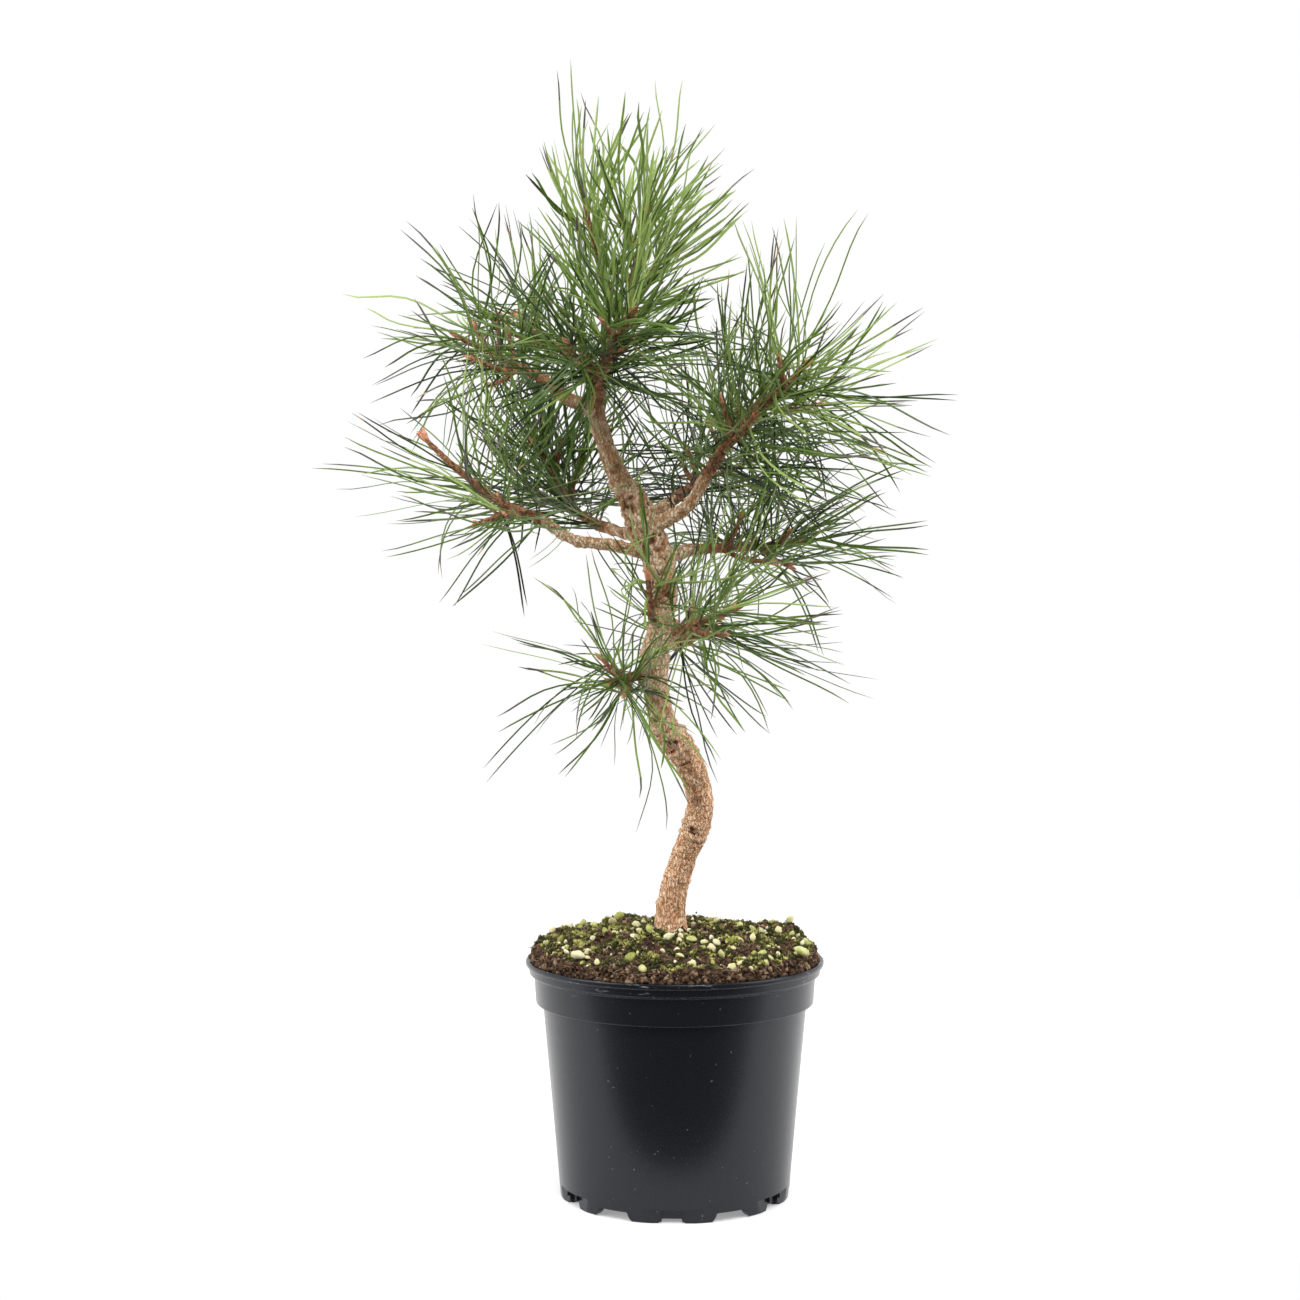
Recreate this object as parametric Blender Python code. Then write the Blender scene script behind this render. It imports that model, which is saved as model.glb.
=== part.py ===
"""A young potted scots pine: nursery pot, soil, winding trunk, boughs and masses of long needles.

Run it with blender --background --python part.py, or from the text editor. Lengths are named in
millimetres and become metres as each mesh is made. The origin is the middle of the pot's underside,
+Z is up, and the plant is seen from -Y in its best-known view, with +X to the right.
"""

import math
import random

import bmesh
import bpy
import numpy as np
from mathutils import Matrix, Vector, noise

MM = 0.001
UP = np.array((0.0, 0.0, 1.0))
SEAT_GAP = 0.3                    # between two pieces that touch on the real plant

# The pot: moulded plastic, 19 cm across its lip and 15 cm high
POT_SIDES = 40
POT_WALL = 1.6
LIP_TOP = 150.2
LIP_RADIUS = 95.0
LIP_DEPTH = 3.6                   # height of the rounded bead round the rim
NECK_RADIUS = 93.2                # just under the bead
BAND_TOP = 140.6
BAND_TOP_RADIUS = 89.7
BAND_FOOT = 123.2
BAND_FOOT_RADIUS = 88.6
BODY_TOP_RADIUS = 84.2
FOOT_RADIUS = 73.2
FOOT_RING_WIDTH = 7.0
FLOOR_UNDERSIDE = 9.0
PAD_RADIUS = 13.0                 # moulding pad in the middle of the underside, level with the feet

# The feet: six deep gaps and six low ones, by turns, round the foot ring. A deep gap is a recess that
# has a wall behind it, with a slot under the wall
FEET_PAIRS = 6
FEET_TURN = -2.0                  # degrees from straight ahead to the first deep gap
DEEP_GAP = (13.4, 8.4)            # width along the ring, and height
DEEP_GAP_SUNK = 3.8
SLOT = (12.8, 2.2)
LOW_GAP = (21.5, 5.4)
FOOT_PANEL = (12.4, 8.6)          # the sunk part of each foot, beside a deep gap
FOOT_PANEL_SUNK = 1.8
BEYOND_FEET = 6.0                 # how far the cutting blocks reach past the feet's outer side
DRAIN_RADIUS = 5.0
DRAIN_CIRCLE = 56.0

# The soil: peat that stands above the rim and rises to the trunk
SOIL_SIDES = 36
SOIL_EDGE_TOP = 157.5
SOIL_SEAT = 167.0
SOIL_SEAT_RADIUS = 14.0
SOIL_RINGS = (89.0, 82.0, 69.0, 54.0, 39.0, 26.0)
SOIL_BUMP = 2.6
SOIL_BUMP_SPREAD = 19.0
SOIL_MOUNDS = ((-36.0, 55.0, 3.0, 17.0), (72.0, 36.0, 5.0, 16.0))    # x, y, height, spread

# The trunk's centre line and radius, from its flat cut on the soil to the foot of the top tuft
TRUNK_SIDES = 12
TRUNK_STEP = 8.5
TRUNK = (
    (-2.0, 8.0, SOIL_SEAT + SEAT_GAP, 10.4), (-2.6, 7.5, 177.5, 9.5), (0.0, 6.5, 195.0, 8.7),
    (6.0, 5.0, 215.0, 8.3), (13.4, 2.0, 234.0, 9.0), (16.0, 0.0, 253.0, 8.2),
    (9.4, -3.0, 274.7, 9.0), (1.4, -4.5, 287.5, 9.6), (-7.4, -5.0, 301.0, 8.3),
    (-12.0, -4.0, 322.5, 7.9), (-12.5, -2.0, 345.5, 9.2), (-9.5, 0.0, 359.5, 7.8),
    (-7.0, 3.0, 385.0, 8.6), (-12.0, 4.0, 408.0, 10.0), (-19.5, 3.0, 425.0, 10.7),
    (-27.0, 1.5, 443.0, 9.4), (-36.0, 0.0, 457.0, 7.0), (-43.5, -1.5, 476.0, 6.0),
    (-50.5, -2.0, 500.0, 6.4), (-47.5, -1.0, 515.5, 5.0), (-40.5, 0.0, 533.0, 4.2),
    (-36.5, 0.0, 542.0, 3.9),
)

# The needles, and how a shoot bears them: in sprays, each a short stalk that ends in four needles
NEEDLE_LENGTH = 96.0
NEEDLE_SPREAD = 0.10              # a needle is this much longer or shorter by chance
OPEN_AT_FOOT = 70.0               # degrees between a shoot and the needles at its foot
OPEN_AT_TIP = 16.0
DROOP = 0.10                      # how far a level needle hangs, as a share of its length
NEEDLED_FROM = 0.12               # the needled part of a shoot, as shares of its length
NEEDLED_TO = 0.97
SPRAY_STEP = 4.0
SPRAY_NEEDLES = 4
STALK_LENGTH = 12.0
STALK_RADII = (1.0, 1.9)          # at its root in the shoot, and where the needles part
SPRAY_FAN = 14.0                  # degrees between a needle and the middle of its spray
GOLDEN_TURN = math.radians(137.508)
GOLDEN_SHARE = 0.618
SHORTER_TRIES = (1.0, 0.8, 0.62)
LIMB_CLEAR = 2.4
SPRAY_CLEAR = 1.5
OWN_SPACE_MARGIN = 2.4
SPACE_SHARES = (0.35, 0.55, 0.75, 1.0)    # where along a needle its place in its own space is tested
TWIG_RADII = (1.9, 1.25)
TWIG_STEP = 9.0
TWIG_LEAN = math.radians(60)      # between a twig and the stem it leaves
TWIG_LIFT = 0.2                   # how far it turns up, as a share of its heading
TWIG_BEND = 0.07                  # how far its middle hangs below a straight line, as a share of length
TWIG_TRIES = 8
TWIG_APART = (9.0, 17.0)          # from the same mass's shoots, and from another's
STEM_TIP_RADIUS = 1.5
UNION_SOLVERS = ("EXACT", "MANIFOLD")    # the second only where the first loses a mass's stem

# Each limb: the line of a bough from the trunk's middle to its tip, the bough's radius at both ends,
# the line of the needled stem that goes on from it, the tips of its forks, the number of small twigs
# that a seeded rule adds, their length, the length of the needles as a share, and the seed
LIMBS = {
    "top": (
        (), (3.9, 3.5), ((-31, -2, 556), (-25, -5, 590), (-18, -8, 622)),
        ((-58, 3, 634), (-6, 12, 608)), 2, 18, 0.93, 3),
    "upper_left": (
        ((-50, -2, 500), (-68, 5, 507), (-86, 10, 521)), (4.7, 3.4),
        ((-102, 15, 529), (-117, 20, 537), (-128, 24, 553)),
        ((-128, 4, 532), (-108, 38, 554)), 3, 22, 0.97, 11),
    "upper_right": (
        ((-20, 2, 425), (-8, -1, 429), (9, -4, 440), (26, -8, 468)), (4.8, 3.6),
        ((46, -12, 494), (58, -14, 505), (68, -20, 513), (80, -26, 524)),
        ((48, -36, 492), (70, 10, 516), (90, -8, 502)), 3, 20, 0.98, 5),
    "front": (
        ((-48.5, -2, 509), (-48, -16, 514)), (4.0, 3.2),
        ((-46, -32, 522), (-37, -52, 538), (-27, -66, 551)),
        ((-66, -58, 535),), 3, 20, 0.90, 4),
    "middle_left": (
        ((-17, 3, 418), (-43, 20, 425), (-58, 31, 432)), (4.0, 3.0),
        ((-68, 40, 441), (-78, 52, 458), (-86, 60, 482)),
        ((-98, 66, 456), (-62, 54, 474)), 3, 22, 0.94, 8),
    "lower_left": (
        ((-11, 4, 406), (-35, -9, 413), (-64, -18, 417), (-86, -22, 431)), (4.5, 3.5),
        ((-106, -25, 438), (-135, -30, 460), (-154, -34, 478)),
        ((-104, -48, 432), (-112, 0, 444)), 2, 20, 0.94, 2),
    "lower_right": (
        ((-11, 4, 404), (6, 12, 410), (23, 20, 412)), (4.5, 3.3),
        ((45, 32, 413), (62, 38, 414), (80, 38, 416)),
        ((62, 12, 403), (54, 62, 418)), 3, 22, 0.98, 9),
    "low_right": (
        ((-10, -1, 353), (-2, -7, 357), (6, -12, 361)), (3.7, 2.9),
        ((14, -17, 365), (24, -21, 369), (35, -23, 373)),
        ((30, -38, 358),), 2, 16, 1.0, 6),
    "low_left": (
        ((-12.5, -3, 331), (-20, -4, 332), (-26, -5, 331)), (3.9, 2.8),
        ((-32, -6, 330), (-38, -8, 327)),
        ((-32, -26, 320), (-33, 14, 324)), 2, 18, 0.97, 7),
    "low_front": (
        ((-10, -1, 363), (-13, -11, 367), (-15, -17, 371)), (3.2, 2.4),
        ((-16, -26, 381), (-17, -38, 393)),
        ((-3, -32, 392),), 2, 15, 0.88, 10),
    "low_back": (
        ((-10, 1, 350), (-4, 16, 350), (4, 28, 351)), (3.7, 2.8),
        ((12, 38, 353), (20, 46, 358)),
        ((2, 52, 346),), 3, 20, 0.92, 12),
    "back": (
        ((-18, 3, 430), (-6, 30, 440), (10, 58, 452)), (4.5, 3.3),
        ((24, 80, 463), (34, 98, 478), (38, 112, 498)),
        ((6, 98, 472), (54, 94, 474)), 2, 22, 0.96, 13),
    "back_upper": (
        ((-47.5, -1, 516), (-56, 22, 526), (-68, 48, 538)), (4.0, 3.1),
        ((-78, 66, 547), (-92, 80, 556), (-104, 90, 568)),
        ((-70, 84, 554), (-108, 70, 556)), 2, 22, 0.94, 14),
}
LIMB_STEP = 10.0
BOUGH_SIDES = 8
STEM_SIDES = 6
TWIG_SIDES = 3

# Colour, roughness and whether it is metal
FINISHES = {
    "pot_plastic": ((0.018, 0.020, 0.022), 0.42),
    "peat": ((0.045, 0.028, 0.016), 0.95),
    "bark": ((0.36, 0.23, 0.13), 0.85),
    "needle_green": ((0.07, 0.16, 0.04), 0.5),
}


def clear_scene():
    for thing in list(bpy.data.objects):
        bpy.data.objects.remove(thing)


def make_materials():
    made = {}
    for name, (colour, roughness) in FINISHES.items():
        material = bpy.data.materials.new(name)
        material.use_nodes = True
        surface = material.node_tree.nodes["Principled BSDF"]
        surface.inputs["Base Color"].default_value = (*colour, 1.0)
        surface.inputs["Roughness"].default_value = roughness
        made[name] = material
    return made


def object_from(mesh, name, material, collection=None):
    """The finished bmesh, its faces turned out, as an object of that name."""
    bmesh.ops.recalc_face_normals(mesh, faces=mesh.faces)
    data = bpy.data.meshes.new(name)
    mesh.to_mesh(data)
    mesh.free()
    data.materials.append(material)
    thing = bpy.data.objects.new(name, data)
    (collection or bpy.context.scene.collection).objects.link(thing)
    return thing


def shade(thing, angle=40.0):
    thing.data.shade_smooth()
    thing.data.set_sharp_from_angle(angle=math.radians(angle))


def hide_helper(thing):
    thing.hide_render = True
    thing.display_type = "WIRE"


def cut(thing, cutter):
    """Takes the cutter's shape away, as a modifier that stays."""
    hide_helper(cutter)
    modifier = thing.modifiers.new("cut_" + cutter.name, "BOOLEAN")
    modifier.operation = "DIFFERENCE"
    modifier.solver = "EXACT"
    modifier.object = cutter


def drawn_out(rings):
    """A closed bmesh, drawn out from its first ring of points to its last, one extrusion for each."""
    mesh = bmesh.new()
    first = mesh.faces.new([mesh.verts.new(point * MM) for point in rings[0]])
    cap = first
    for ring in rings[1:]:
        made = bmesh.ops.extrude_face_region(mesh, geom=[cap])["geom"]
        if cap is not first:
            mesh.faces.remove(cap)
        cap = next(piece for piece in made if isinstance(piece, bmesh.types.BMFace))
        for corner, point in zip(cap.verts, ring):
            corner.co = point * MM
    return mesh


def unit(way):
    return way / np.linalg.norm(way)


def smooth_path(stations, step):
    """Stations about one step apart on a smooth curve through the given ones; a radius goes along."""
    given = np.array(stations, float)
    given = np.vstack([2 * given[0] - given[1], given, 2 * given[-1] - given[-2]])
    path = []
    for before, start, end, after in zip(given, given[1:], given[2:], given[3:]):
        count = max(1, round(np.linalg.norm((end - start)[:3]) / step))
        for number in range(count):
            t = number / count
            path.append(0.5 * (2 * start + (end - before) * t
                               + (2 * before - 5 * start + 4 * end - after) * t ** 2
                               + (3 * start - before - 3 * end + after) * t ** 3))
    path.append(given[-2])
    return np.array(path)


def limb_rings(path, sides, grow=0.0, start=None, end=None):
    """A ring of points round each station, turned to follow the last; start and end are end directions."""
    middles = [Vector(station[:3]) for station in path]
    side = Vector((0.0, -1.0, 0.0))
    rings = []
    for number, middle in enumerate(middles):
        ahead = middles[min(number + 1, len(middles) - 1)]
        behind = middles[max(number - 1, 0)]
        forward = (ahead - behind).normalized()
        if number == 0 and start is not None:
            forward = Vector(start).normalized()
        if number == len(middles) - 1 and end is not None:
            forward = Vector(end).normalized()
        side = (side - side.dot(forward) * forward).normalized()
        across = forward.cross(side)
        radius = float(path[number][3]) + grow
        rings.append([
            middle + radius * (math.cos(turn) * side + math.sin(turn) * across)
            for turn in (math.tau * place / sides for place in range(sides))
        ])
    return rings


def pot_inner_radius(height):
    """The radius of the pot's inner wall at a height."""
    heights = (FLOOR_UNDERSIDE, BAND_FOOT + POT_WALL, BAND_FOOT + 2.4 * POT_WALL, BAND_TOP, BAND_TOP + 2.0,
               LIP_TOP)
    outer = (FOOT_RADIUS + 0.8, BODY_TOP_RADIUS, BAND_FOOT_RADIUS, BAND_TOP_RADIUS, NECK_RADIUS - 0.4,
             NECK_RADIUS)
    return float(np.interp(height, heights, outer)) - POT_WALL


def pot_profile():
    """The pot's section from the middle of its underside, up the outside and down the inside."""
    ring_inside = FOOT_RADIUS - FOOT_RING_WIDTH
    floor_top = FLOOR_UNDERSIDE + POT_WALL
    bead_foot = LIP_TOP - LIP_DEPTH
    outside = [
        (0.0, 0.0), (PAD_RADIUS - 1.0, 0.0), (PAD_RADIUS, 1.0), (PAD_RADIUS + 0.6, FLOOR_UNDERSIDE),
        (ring_inside, FLOOR_UNDERSIDE), (ring_inside + 0.6, 0.0), (FOOT_RADIUS - 0.5, 0.0),
        (FOOT_RADIUS, 0.7), (FOOT_RADIUS + 0.9, FLOOR_UNDERSIDE + 3.0),
        (BODY_TOP_RADIUS, BAND_FOOT - 0.4), (BAND_FOOT_RADIUS - 0.9, BAND_FOOT),
        (BAND_FOOT_RADIUS, BAND_FOOT + 1.3), (BAND_TOP_RADIUS, BAND_TOP), (NECK_RADIUS - 0.5, BAND_TOP + 1.4),
        (NECK_RADIUS, bead_foot), (LIP_RADIUS - 0.2, bead_foot + 0.4), (LIP_RADIUS, bead_foot + 1.3),
        (LIP_RADIUS, LIP_TOP - 0.9), (LIP_RADIUS - 0.8, LIP_TOP),
    ]
    inside = [(pot_inner_radius(height), height) for height in (
        LIP_TOP, BAND_TOP + 2.0, BAND_TOP, BAND_FOOT + 2.4 * POT_WALL, BAND_FOOT + POT_WALL, floor_top)]
    return outside + inside + [(0.0, floor_top)]


def make_pot(material):
    mesh = bmesh.new()
    corners = [mesh.verts.new((radius * MM, 0.0, height * MM)) for radius, height in pot_profile()]
    edges = [mesh.edges.new(pair) for pair in zip(corners, corners[1:])]
    bmesh.ops.spin(mesh, geom=corners + edges, cent=(0, 0, 0), axis=(0, 0, 1), angle=math.tau,
                   steps=POT_SIDES, use_merge=True)
    bmesh.ops.remove_doubles(mesh, verts=mesh.verts, dist=0.00001)
    pot = object_from(mesh, "pot", material)
    for cutter in foot_cutters(material):
        cut(pot, cutter)
    shade(pot, 30.0)
    return pot


def add_block(mesh, turn, size, sunk, sideways=0.0):
    """A block that cuts a gap of that width and height into the foot ring, sunk so far from outside.

    Its turn is in degrees round the pot's axis, and 0 is straight ahead.
    """
    width, height = size
    below = 5.0
    turned = Matrix.Rotation(math.radians(turn), 4, "Z")
    outward = FOOT_RADIUS + (BEYOND_FEET - sunk) / 2
    place = Matrix.Translation(Vector((sideways, -outward, (height - below) / 2)) * MM)
    scaled = Matrix.Diagonal((width * MM, (BEYOND_FEET + sunk) * MM, (height + below) * MM, 1))
    bmesh.ops.create_cube(mesh, size=1.0, matrix=turned @ place @ scaled)


def foot_cutters(material):
    """One cutter for the panels, low gaps and drain holes, one for the deep gaps, one for the slots."""
    panels, deep_gaps, slots = bmesh.new(), bmesh.new(), bmesh.new()
    through = FOOT_RING_WIDTH + 1.5
    pitch = 360.0 / FEET_PAIRS
    aside = (DEEP_GAP[0] + FOOT_PANEL[0] - 0.8) / 2
    for number in range(FEET_PAIRS):
        deep = FEET_TURN + pitch * number
        low = deep + pitch / 2
        add_block(panels, low, LOW_GAP, through)
        for side in (-1, 1):
            add_block(panels, deep, FOOT_PANEL, FOOT_PANEL_SUNK, side * aside)
        add_block(deep_gaps, deep, DEEP_GAP, DEEP_GAP_SUNK)
        add_block(slots, deep, SLOT, through)
        turned = Matrix.Rotation(math.radians(low), 4, "Z")
        place = Matrix.Translation(Vector((0, -DRAIN_CIRCLE, FLOOR_UNDERSIDE)) * MM)
        bmesh.ops.create_cone(panels, cap_ends=True, segments=10, radius1=DRAIN_RADIUS * MM,
                              radius2=DRAIN_RADIUS * MM, depth=8 * MM, matrix=turned @ place)
    return [object_from(mesh, name, material) for mesh, name in (
        (panels, "panel_cutter"), (deep_gaps, "deep_gap_cutter"), (slots, "slot_cutter"))]


def soil_height(x, y, radius):
    """The top of the soil: a low dome with mounds, and small lumps by a fixed noise."""
    share = (radius - SOIL_SEAT_RADIUS) / (SOIL_RINGS[0] - SOIL_SEAT_RADIUS)
    dome = SOIL_SEAT + (SOIL_EDGE_TOP - SOIL_SEAT) * share ** 2
    mounds = sum(height * math.exp(-((x - mid_x) ** 2 + (y - mid_y) ** 2) / spread ** 2)
                 for mid_x, mid_y, height, spread in SOIL_MOUNDS)
    lumps = SOIL_BUMP * noise.noise(Vector((x, y, 40.0)) / SOIL_BUMP_SPREAD)
    return dome + mounds * min(1.0, 3 * share) + lumps * min(1.0, 3 * share)


def make_soil(material):
    foot_x, foot_y = TRUNK[0][:2]
    turns = [math.tau * place / SOIL_SIDES for place in range(SOIL_SIDES)]
    floor_top = FLOOR_UNDERSIDE + POT_WALL + SEAT_GAP
    rings = []
    for height in (floor_top, BAND_FOOT + POT_WALL, BAND_FOOT + 2.4 * POT_WALL, BAND_TOP, BAND_TOP + 2.0,
                   LIP_TOP + 2.0, LIP_TOP + 6.5):
        radius = pot_inner_radius(height) - 2 * SEAT_GAP
        if height > LIP_TOP + 5.0:
            radius -= 1.0
        rings.append([Vector((radius * math.cos(turn), radius * math.sin(turn), height)) for turn in turns])
    for radius in (*SOIL_RINGS, SOIL_SEAT_RADIUS):
        share = radius / SOIL_RINGS[0]
        middle = Vector((foot_x * (1 - share), foot_y * (1 - share), 0.0))
        ring = []
        for turn in turns:
            point = middle + radius * Vector((math.cos(turn), math.sin(turn), 0.0))
            point.z = SOIL_SEAT
            if radius > SOIL_SEAT_RADIUS:
                point.z = soil_height(point.x, point.y, radius)
            ring.append(point)
        rings.append(ring)
    soil = object_from(drawn_out(rings), "soil", material)
    shade(soil, 60.0)
    return soil


def make_trunk(material, tip_direction):
    path = smooth_path(TRUNK, TRUNK_STEP)
    upright = (0.0, 0.0, 1.0)
    rings = limb_rings(path, TRUNK_SIDES, 0.0, upright, tip_direction)
    trunk = object_from(drawn_out(rings), "trunk", material)
    shade(trunk, 60.0)
    wider_rings = limb_rings(path, TRUNK_SIDES, SEAT_GAP, upright, tip_direction)
    cutter = object_from(drawn_out(wider_rings), "trunk_cutter", material)
    hide_helper(cutter)
    return path, cutter


def limb_line(name):
    """A bough, the stem that goes on from it 0.3 mm further, and the direction of both where they meet."""
    bough_line, (foot_radius, tip_radius), stem_line = LIMBS[name][:3]
    if bough_line:
        stations = np.array(bough_line + stem_line, float)
        split = len(bough_line) - 1
    else:
        stations = np.vstack([np.array(TRUNK[-2:])[:, :3], np.array(stem_line, float)])
        split = 1
    radii = np.concatenate([
        np.linspace(foot_radius, tip_radius, split + 1),
        np.linspace(tip_radius, STEM_TIP_RADIUS, len(stations) - split)[1:]])
    path = smooth_path(np.column_stack([stations, radii]), LIMB_STEP)
    at = int(np.argmin(np.linalg.norm(path[:, :3] - stations[split], axis=1)))
    bough = path[:at + 1]
    stem = path[at:].copy()
    forward = unit((path[at + 1] - path[at - 1])[:3])
    stem[0, :3] += SEAT_GAP * forward
    return bough, stem, forward


def gaps(start, end, starts, ends):
    """The least distance between one straight piece and each of several others."""
    along = end - start
    others = ends - starts
    between = start - starts
    own = along @ along
    theirs = np.einsum("ij,ij->i", others, others)
    both = others @ along
    near = between @ along
    far = np.einsum("ij,ij->i", others, between)
    spread = np.maximum(own * theirs - both ** 2, 1e-9)
    here = np.clip((both * far - near * theirs) / spread, 0, 1)
    there = np.clip((both * here + far) / theirs, 0, 1)
    here = np.clip((both * there - near) / own, 0, 1)
    return np.linalg.norm(between + here[:, None] * along - there[:, None] * others, axis=1)


def clearance(start, end, pieces):
    """How far a straight piece stays from the surfaces of limbs or shoots, given as paths."""
    if not pieces:
        return math.inf
    starts = np.concatenate([path[:-1, :3] for path in pieces])
    ends = np.concatenate([path[1:, :3] for path in pieces])
    radii = np.concatenate([np.maximum(path[:-1, 3], path[1:, 3]) for path in pieces])
    return float((gaps(start, end, starts, ends) - radii).min())


def point_on(path, share):
    """The point and the direction of a path, at a share of its stations."""
    place = share * (len(path) - 1)
    number = min(int(place), len(path) - 2)
    start, end = path[number, :3], path[number + 1, :3]
    return start + (place - number) * (end - start), unit(end - start)


def sideways_of(forward, turn):
    """A direction square to the given one, at a turn round it."""
    side = unit(np.cross(forward, (0.31, 0.95, 0.05)))
    return math.cos(turn) * side + math.sin(turn) * np.cross(forward, side)


def twig_path(foot, tip):
    """A twig that leaves flat and bends up to its tip."""
    middle = (foot + tip) / 2 - TWIG_BEND * np.linalg.norm(tip - foot) * UP
    radii = (TWIG_RADII[0], sum(TWIG_RADII) / 2, TWIG_RADII[1])
    return smooth_path(np.column_stack([np.array([foot, middle, tip]), radii]), 2 * TWIG_STEP)


def grow_twigs(name, stem, limbs, others):
    """The forks of a stem and the small twigs of its seeded rule, leaving out any that comes too near."""
    tips, count, length, _, seed = LIMBS[name][3:]
    own_apart, other_apart = TWIG_APART
    chance = random.Random(seed)
    twigs = []
    for number, tip in enumerate(tips):
        foot, _ = point_on(stem, 0.12 + 0.2 * number)
        twigs.append(twig_path(foot, np.array(tip, float)))
    for number in range(TWIG_TRIES * count):
        if len(twigs) == len(tips) + count:
            break
        share = 0.2 + 0.65 * ((number * GOLDEN_SHARE) % 1.0)
        foot, forward = point_on(stem, share)
        outward = sideways_of(forward, number * GOLDEN_TURN + chance.uniform(0, 0.5))
        heading = math.cos(TWIG_LEAN) * forward + math.sin(TWIG_LEAN) * outward + TWIG_LIFT * UP
        tip = foot + unit(heading) * length * chance.uniform(0.85, 1.15)
        outer = foot + 0.7 * (tip - foot)
        if (clearance(outer, tip, twigs + [stem]) > own_apart
                and clearance(outer, tip, others) > other_apart
                and clearance(outer, tip, limbs) > own_apart):
            twigs.append(twig_path(foot, tip))
    return twigs


def needle_tips(foot, forward, turn, opening, length, chance):
    """The direction of a spray's stalk and the tips of its needles, which lean out evenly round it."""
    outward = sideways_of(forward, turn)
    heading = math.cos(opening) * forward + math.sin(opening) * outward
    tips = []
    for number in range(SPRAY_NEEDLES):
        aside = sideways_of(heading, math.tau * number / SPRAY_NEEDLES + turn)
        fan = math.radians(SPRAY_FAN) * chance.uniform(0.8, 1.2)
        way = math.cos(fan) * heading + math.sin(fan) * aside
        level = math.hypot(way[0], way[1])
        own_length = length * chance.uniform(0.9, 1.0)
        tips.append(foot + own_length * way - DROOP * level * own_length * UP)
    return heading, tips


def add_spray(collection, material, foot, heading, tips):
    """One spray: a slim stalk, sunk to the middle of its shoot, whose end face parts into needles."""
    root_radius, fork_radius = STALK_RADII
    fork = foot + STALK_LENGTH * heading
    ways = [unit(tip - fork - heading * np.dot(heading, tip - fork)) for tip in tips]
    corners = [unit(-one - two) for one, two in zip(ways, ways[1:] + ways[:1])]
    mesh = drawn_out([
        [Vector(foot + root_radius * way) for way in corners],
        [Vector(fork + fork_radius * way) for way in corners]])
    end = max(mesh.faces, key=lambda face: face.calc_center_median().dot(heading))
    quarters = bmesh.ops.poke(mesh, faces=[end])["faces"]
    for quarter in quarters:
        middle = np.array(quarter.calc_center_median()) / MM - fork
        nearest = max(range(len(tips)), key=lambda number: np.dot(ways[number], middle))
        point = bmesh.ops.poke(mesh, faces=[quarter])["verts"][0]
        point.co = Vector(tips[nearest]) * MM
    return object_from(mesh, "spray", material, collection)


def in_own_space(points, own, others):
    """Whether each point lies nearer to this mass's own shoots than to any other's, by a margin."""
    return all(
        clearance(point, point + 0.01, others) - clearance(point, point + 0.01, own) > OWN_SPACE_MARGIN
        for point in points)


def spray_fits(foot, tips, shoots, limbs, others, placed):
    """Whether a spray stays in its mass's space, off every limb and shoot, and off the other sprays."""
    for tip in tips:
        outer = foot + 0.16 * (tip - foot)
        if clearance(foot, tip, limbs) < LIMB_CLEAR or clearance(outer, tip, shoots) < SPRAY_CLEAR / 2:
            return False
        if placed and clearance(outer, tip, placed) < SPRAY_CLEAR:
            return False
        if not in_own_space([foot + share * (tip - foot) for share in SPACE_SHARES], shoots, others):
            return False
    return True


def place_sprays(name, shoots, limbs, others):
    """Every spray of one mass, in turn up each shoot by the golden angle, skipped where it can't fit."""
    share_of_length, seed = LIMBS[name][6:8]
    chance = random.Random(seed * 101)
    sprays = []
    placed = []
    for shoot in shoots:
        length = float(np.linalg.norm(np.diff(shoot[:, :3], axis=0), axis=1).sum())
        count = max(3, round(length / SPRAY_STEP))
        for number in range(count):
            share = NEEDLED_FROM + (NEEDLED_TO - NEEDLED_FROM) * (number + 0.5) / count
            foot, forward = point_on(shoot, share)
            turn = number * GOLDEN_TURN + chance.uniform(-0.25, 0.25)
            opening = math.radians(OPEN_AT_FOOT + (OPEN_AT_TIP - OPEN_AT_FOOT) * share ** 1.3)
            full = NEEDLE_LENGTH * share_of_length * (1 + NEEDLE_SPREAD * chance.uniform(-1, 1))
            for shorter in SHORTER_TRIES:
                heading, tips = needle_tips(foot, forward, turn, opening, full * shorter, chance)
                if spray_fits(foot, tips, shoots, limbs, others, placed):
                    sprays.append((foot, heading, tips))
                    placed += [np.array([(*(foot + 0.2 * (tip - foot)), 0.0), (*tip, 0.0)]) for tip in tips]
                    break
    return sprays


def keep_largest_shell(data):
    """Drops loose scraps and sealed hollows, so that one closed skin is left."""
    mesh = bmesh.new()
    mesh.from_mesh(data)
    left = set(mesh.verts)
    shells = []
    while left:
        shell = {left.pop()}
        edge = list(shell)
        while edge:
            corner = edge.pop()
            near = {line.other_vert(corner) for line in corner.link_edges} - shell
            shell |= near
            edge += near
        left -= shell
        shells.append(shell)
    shells.sort(key=len)
    for shell in shells[:-1]:
        bmesh.ops.delete(mesh, geom=list(shell), context="VERTS")
    mesh.to_mesh(data)
    mesh.free()


def lowest_point(data):
    return min(corner.co.z for corner in data.vertices)


def reach_of(data):
    """The size of a mesh's box, along its diagonal."""
    spots = np.array([corner.co[:] for corner in data.vertices])
    return float(np.linalg.norm(spots.max(axis=0) - spots.min(axis=0)))


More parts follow.
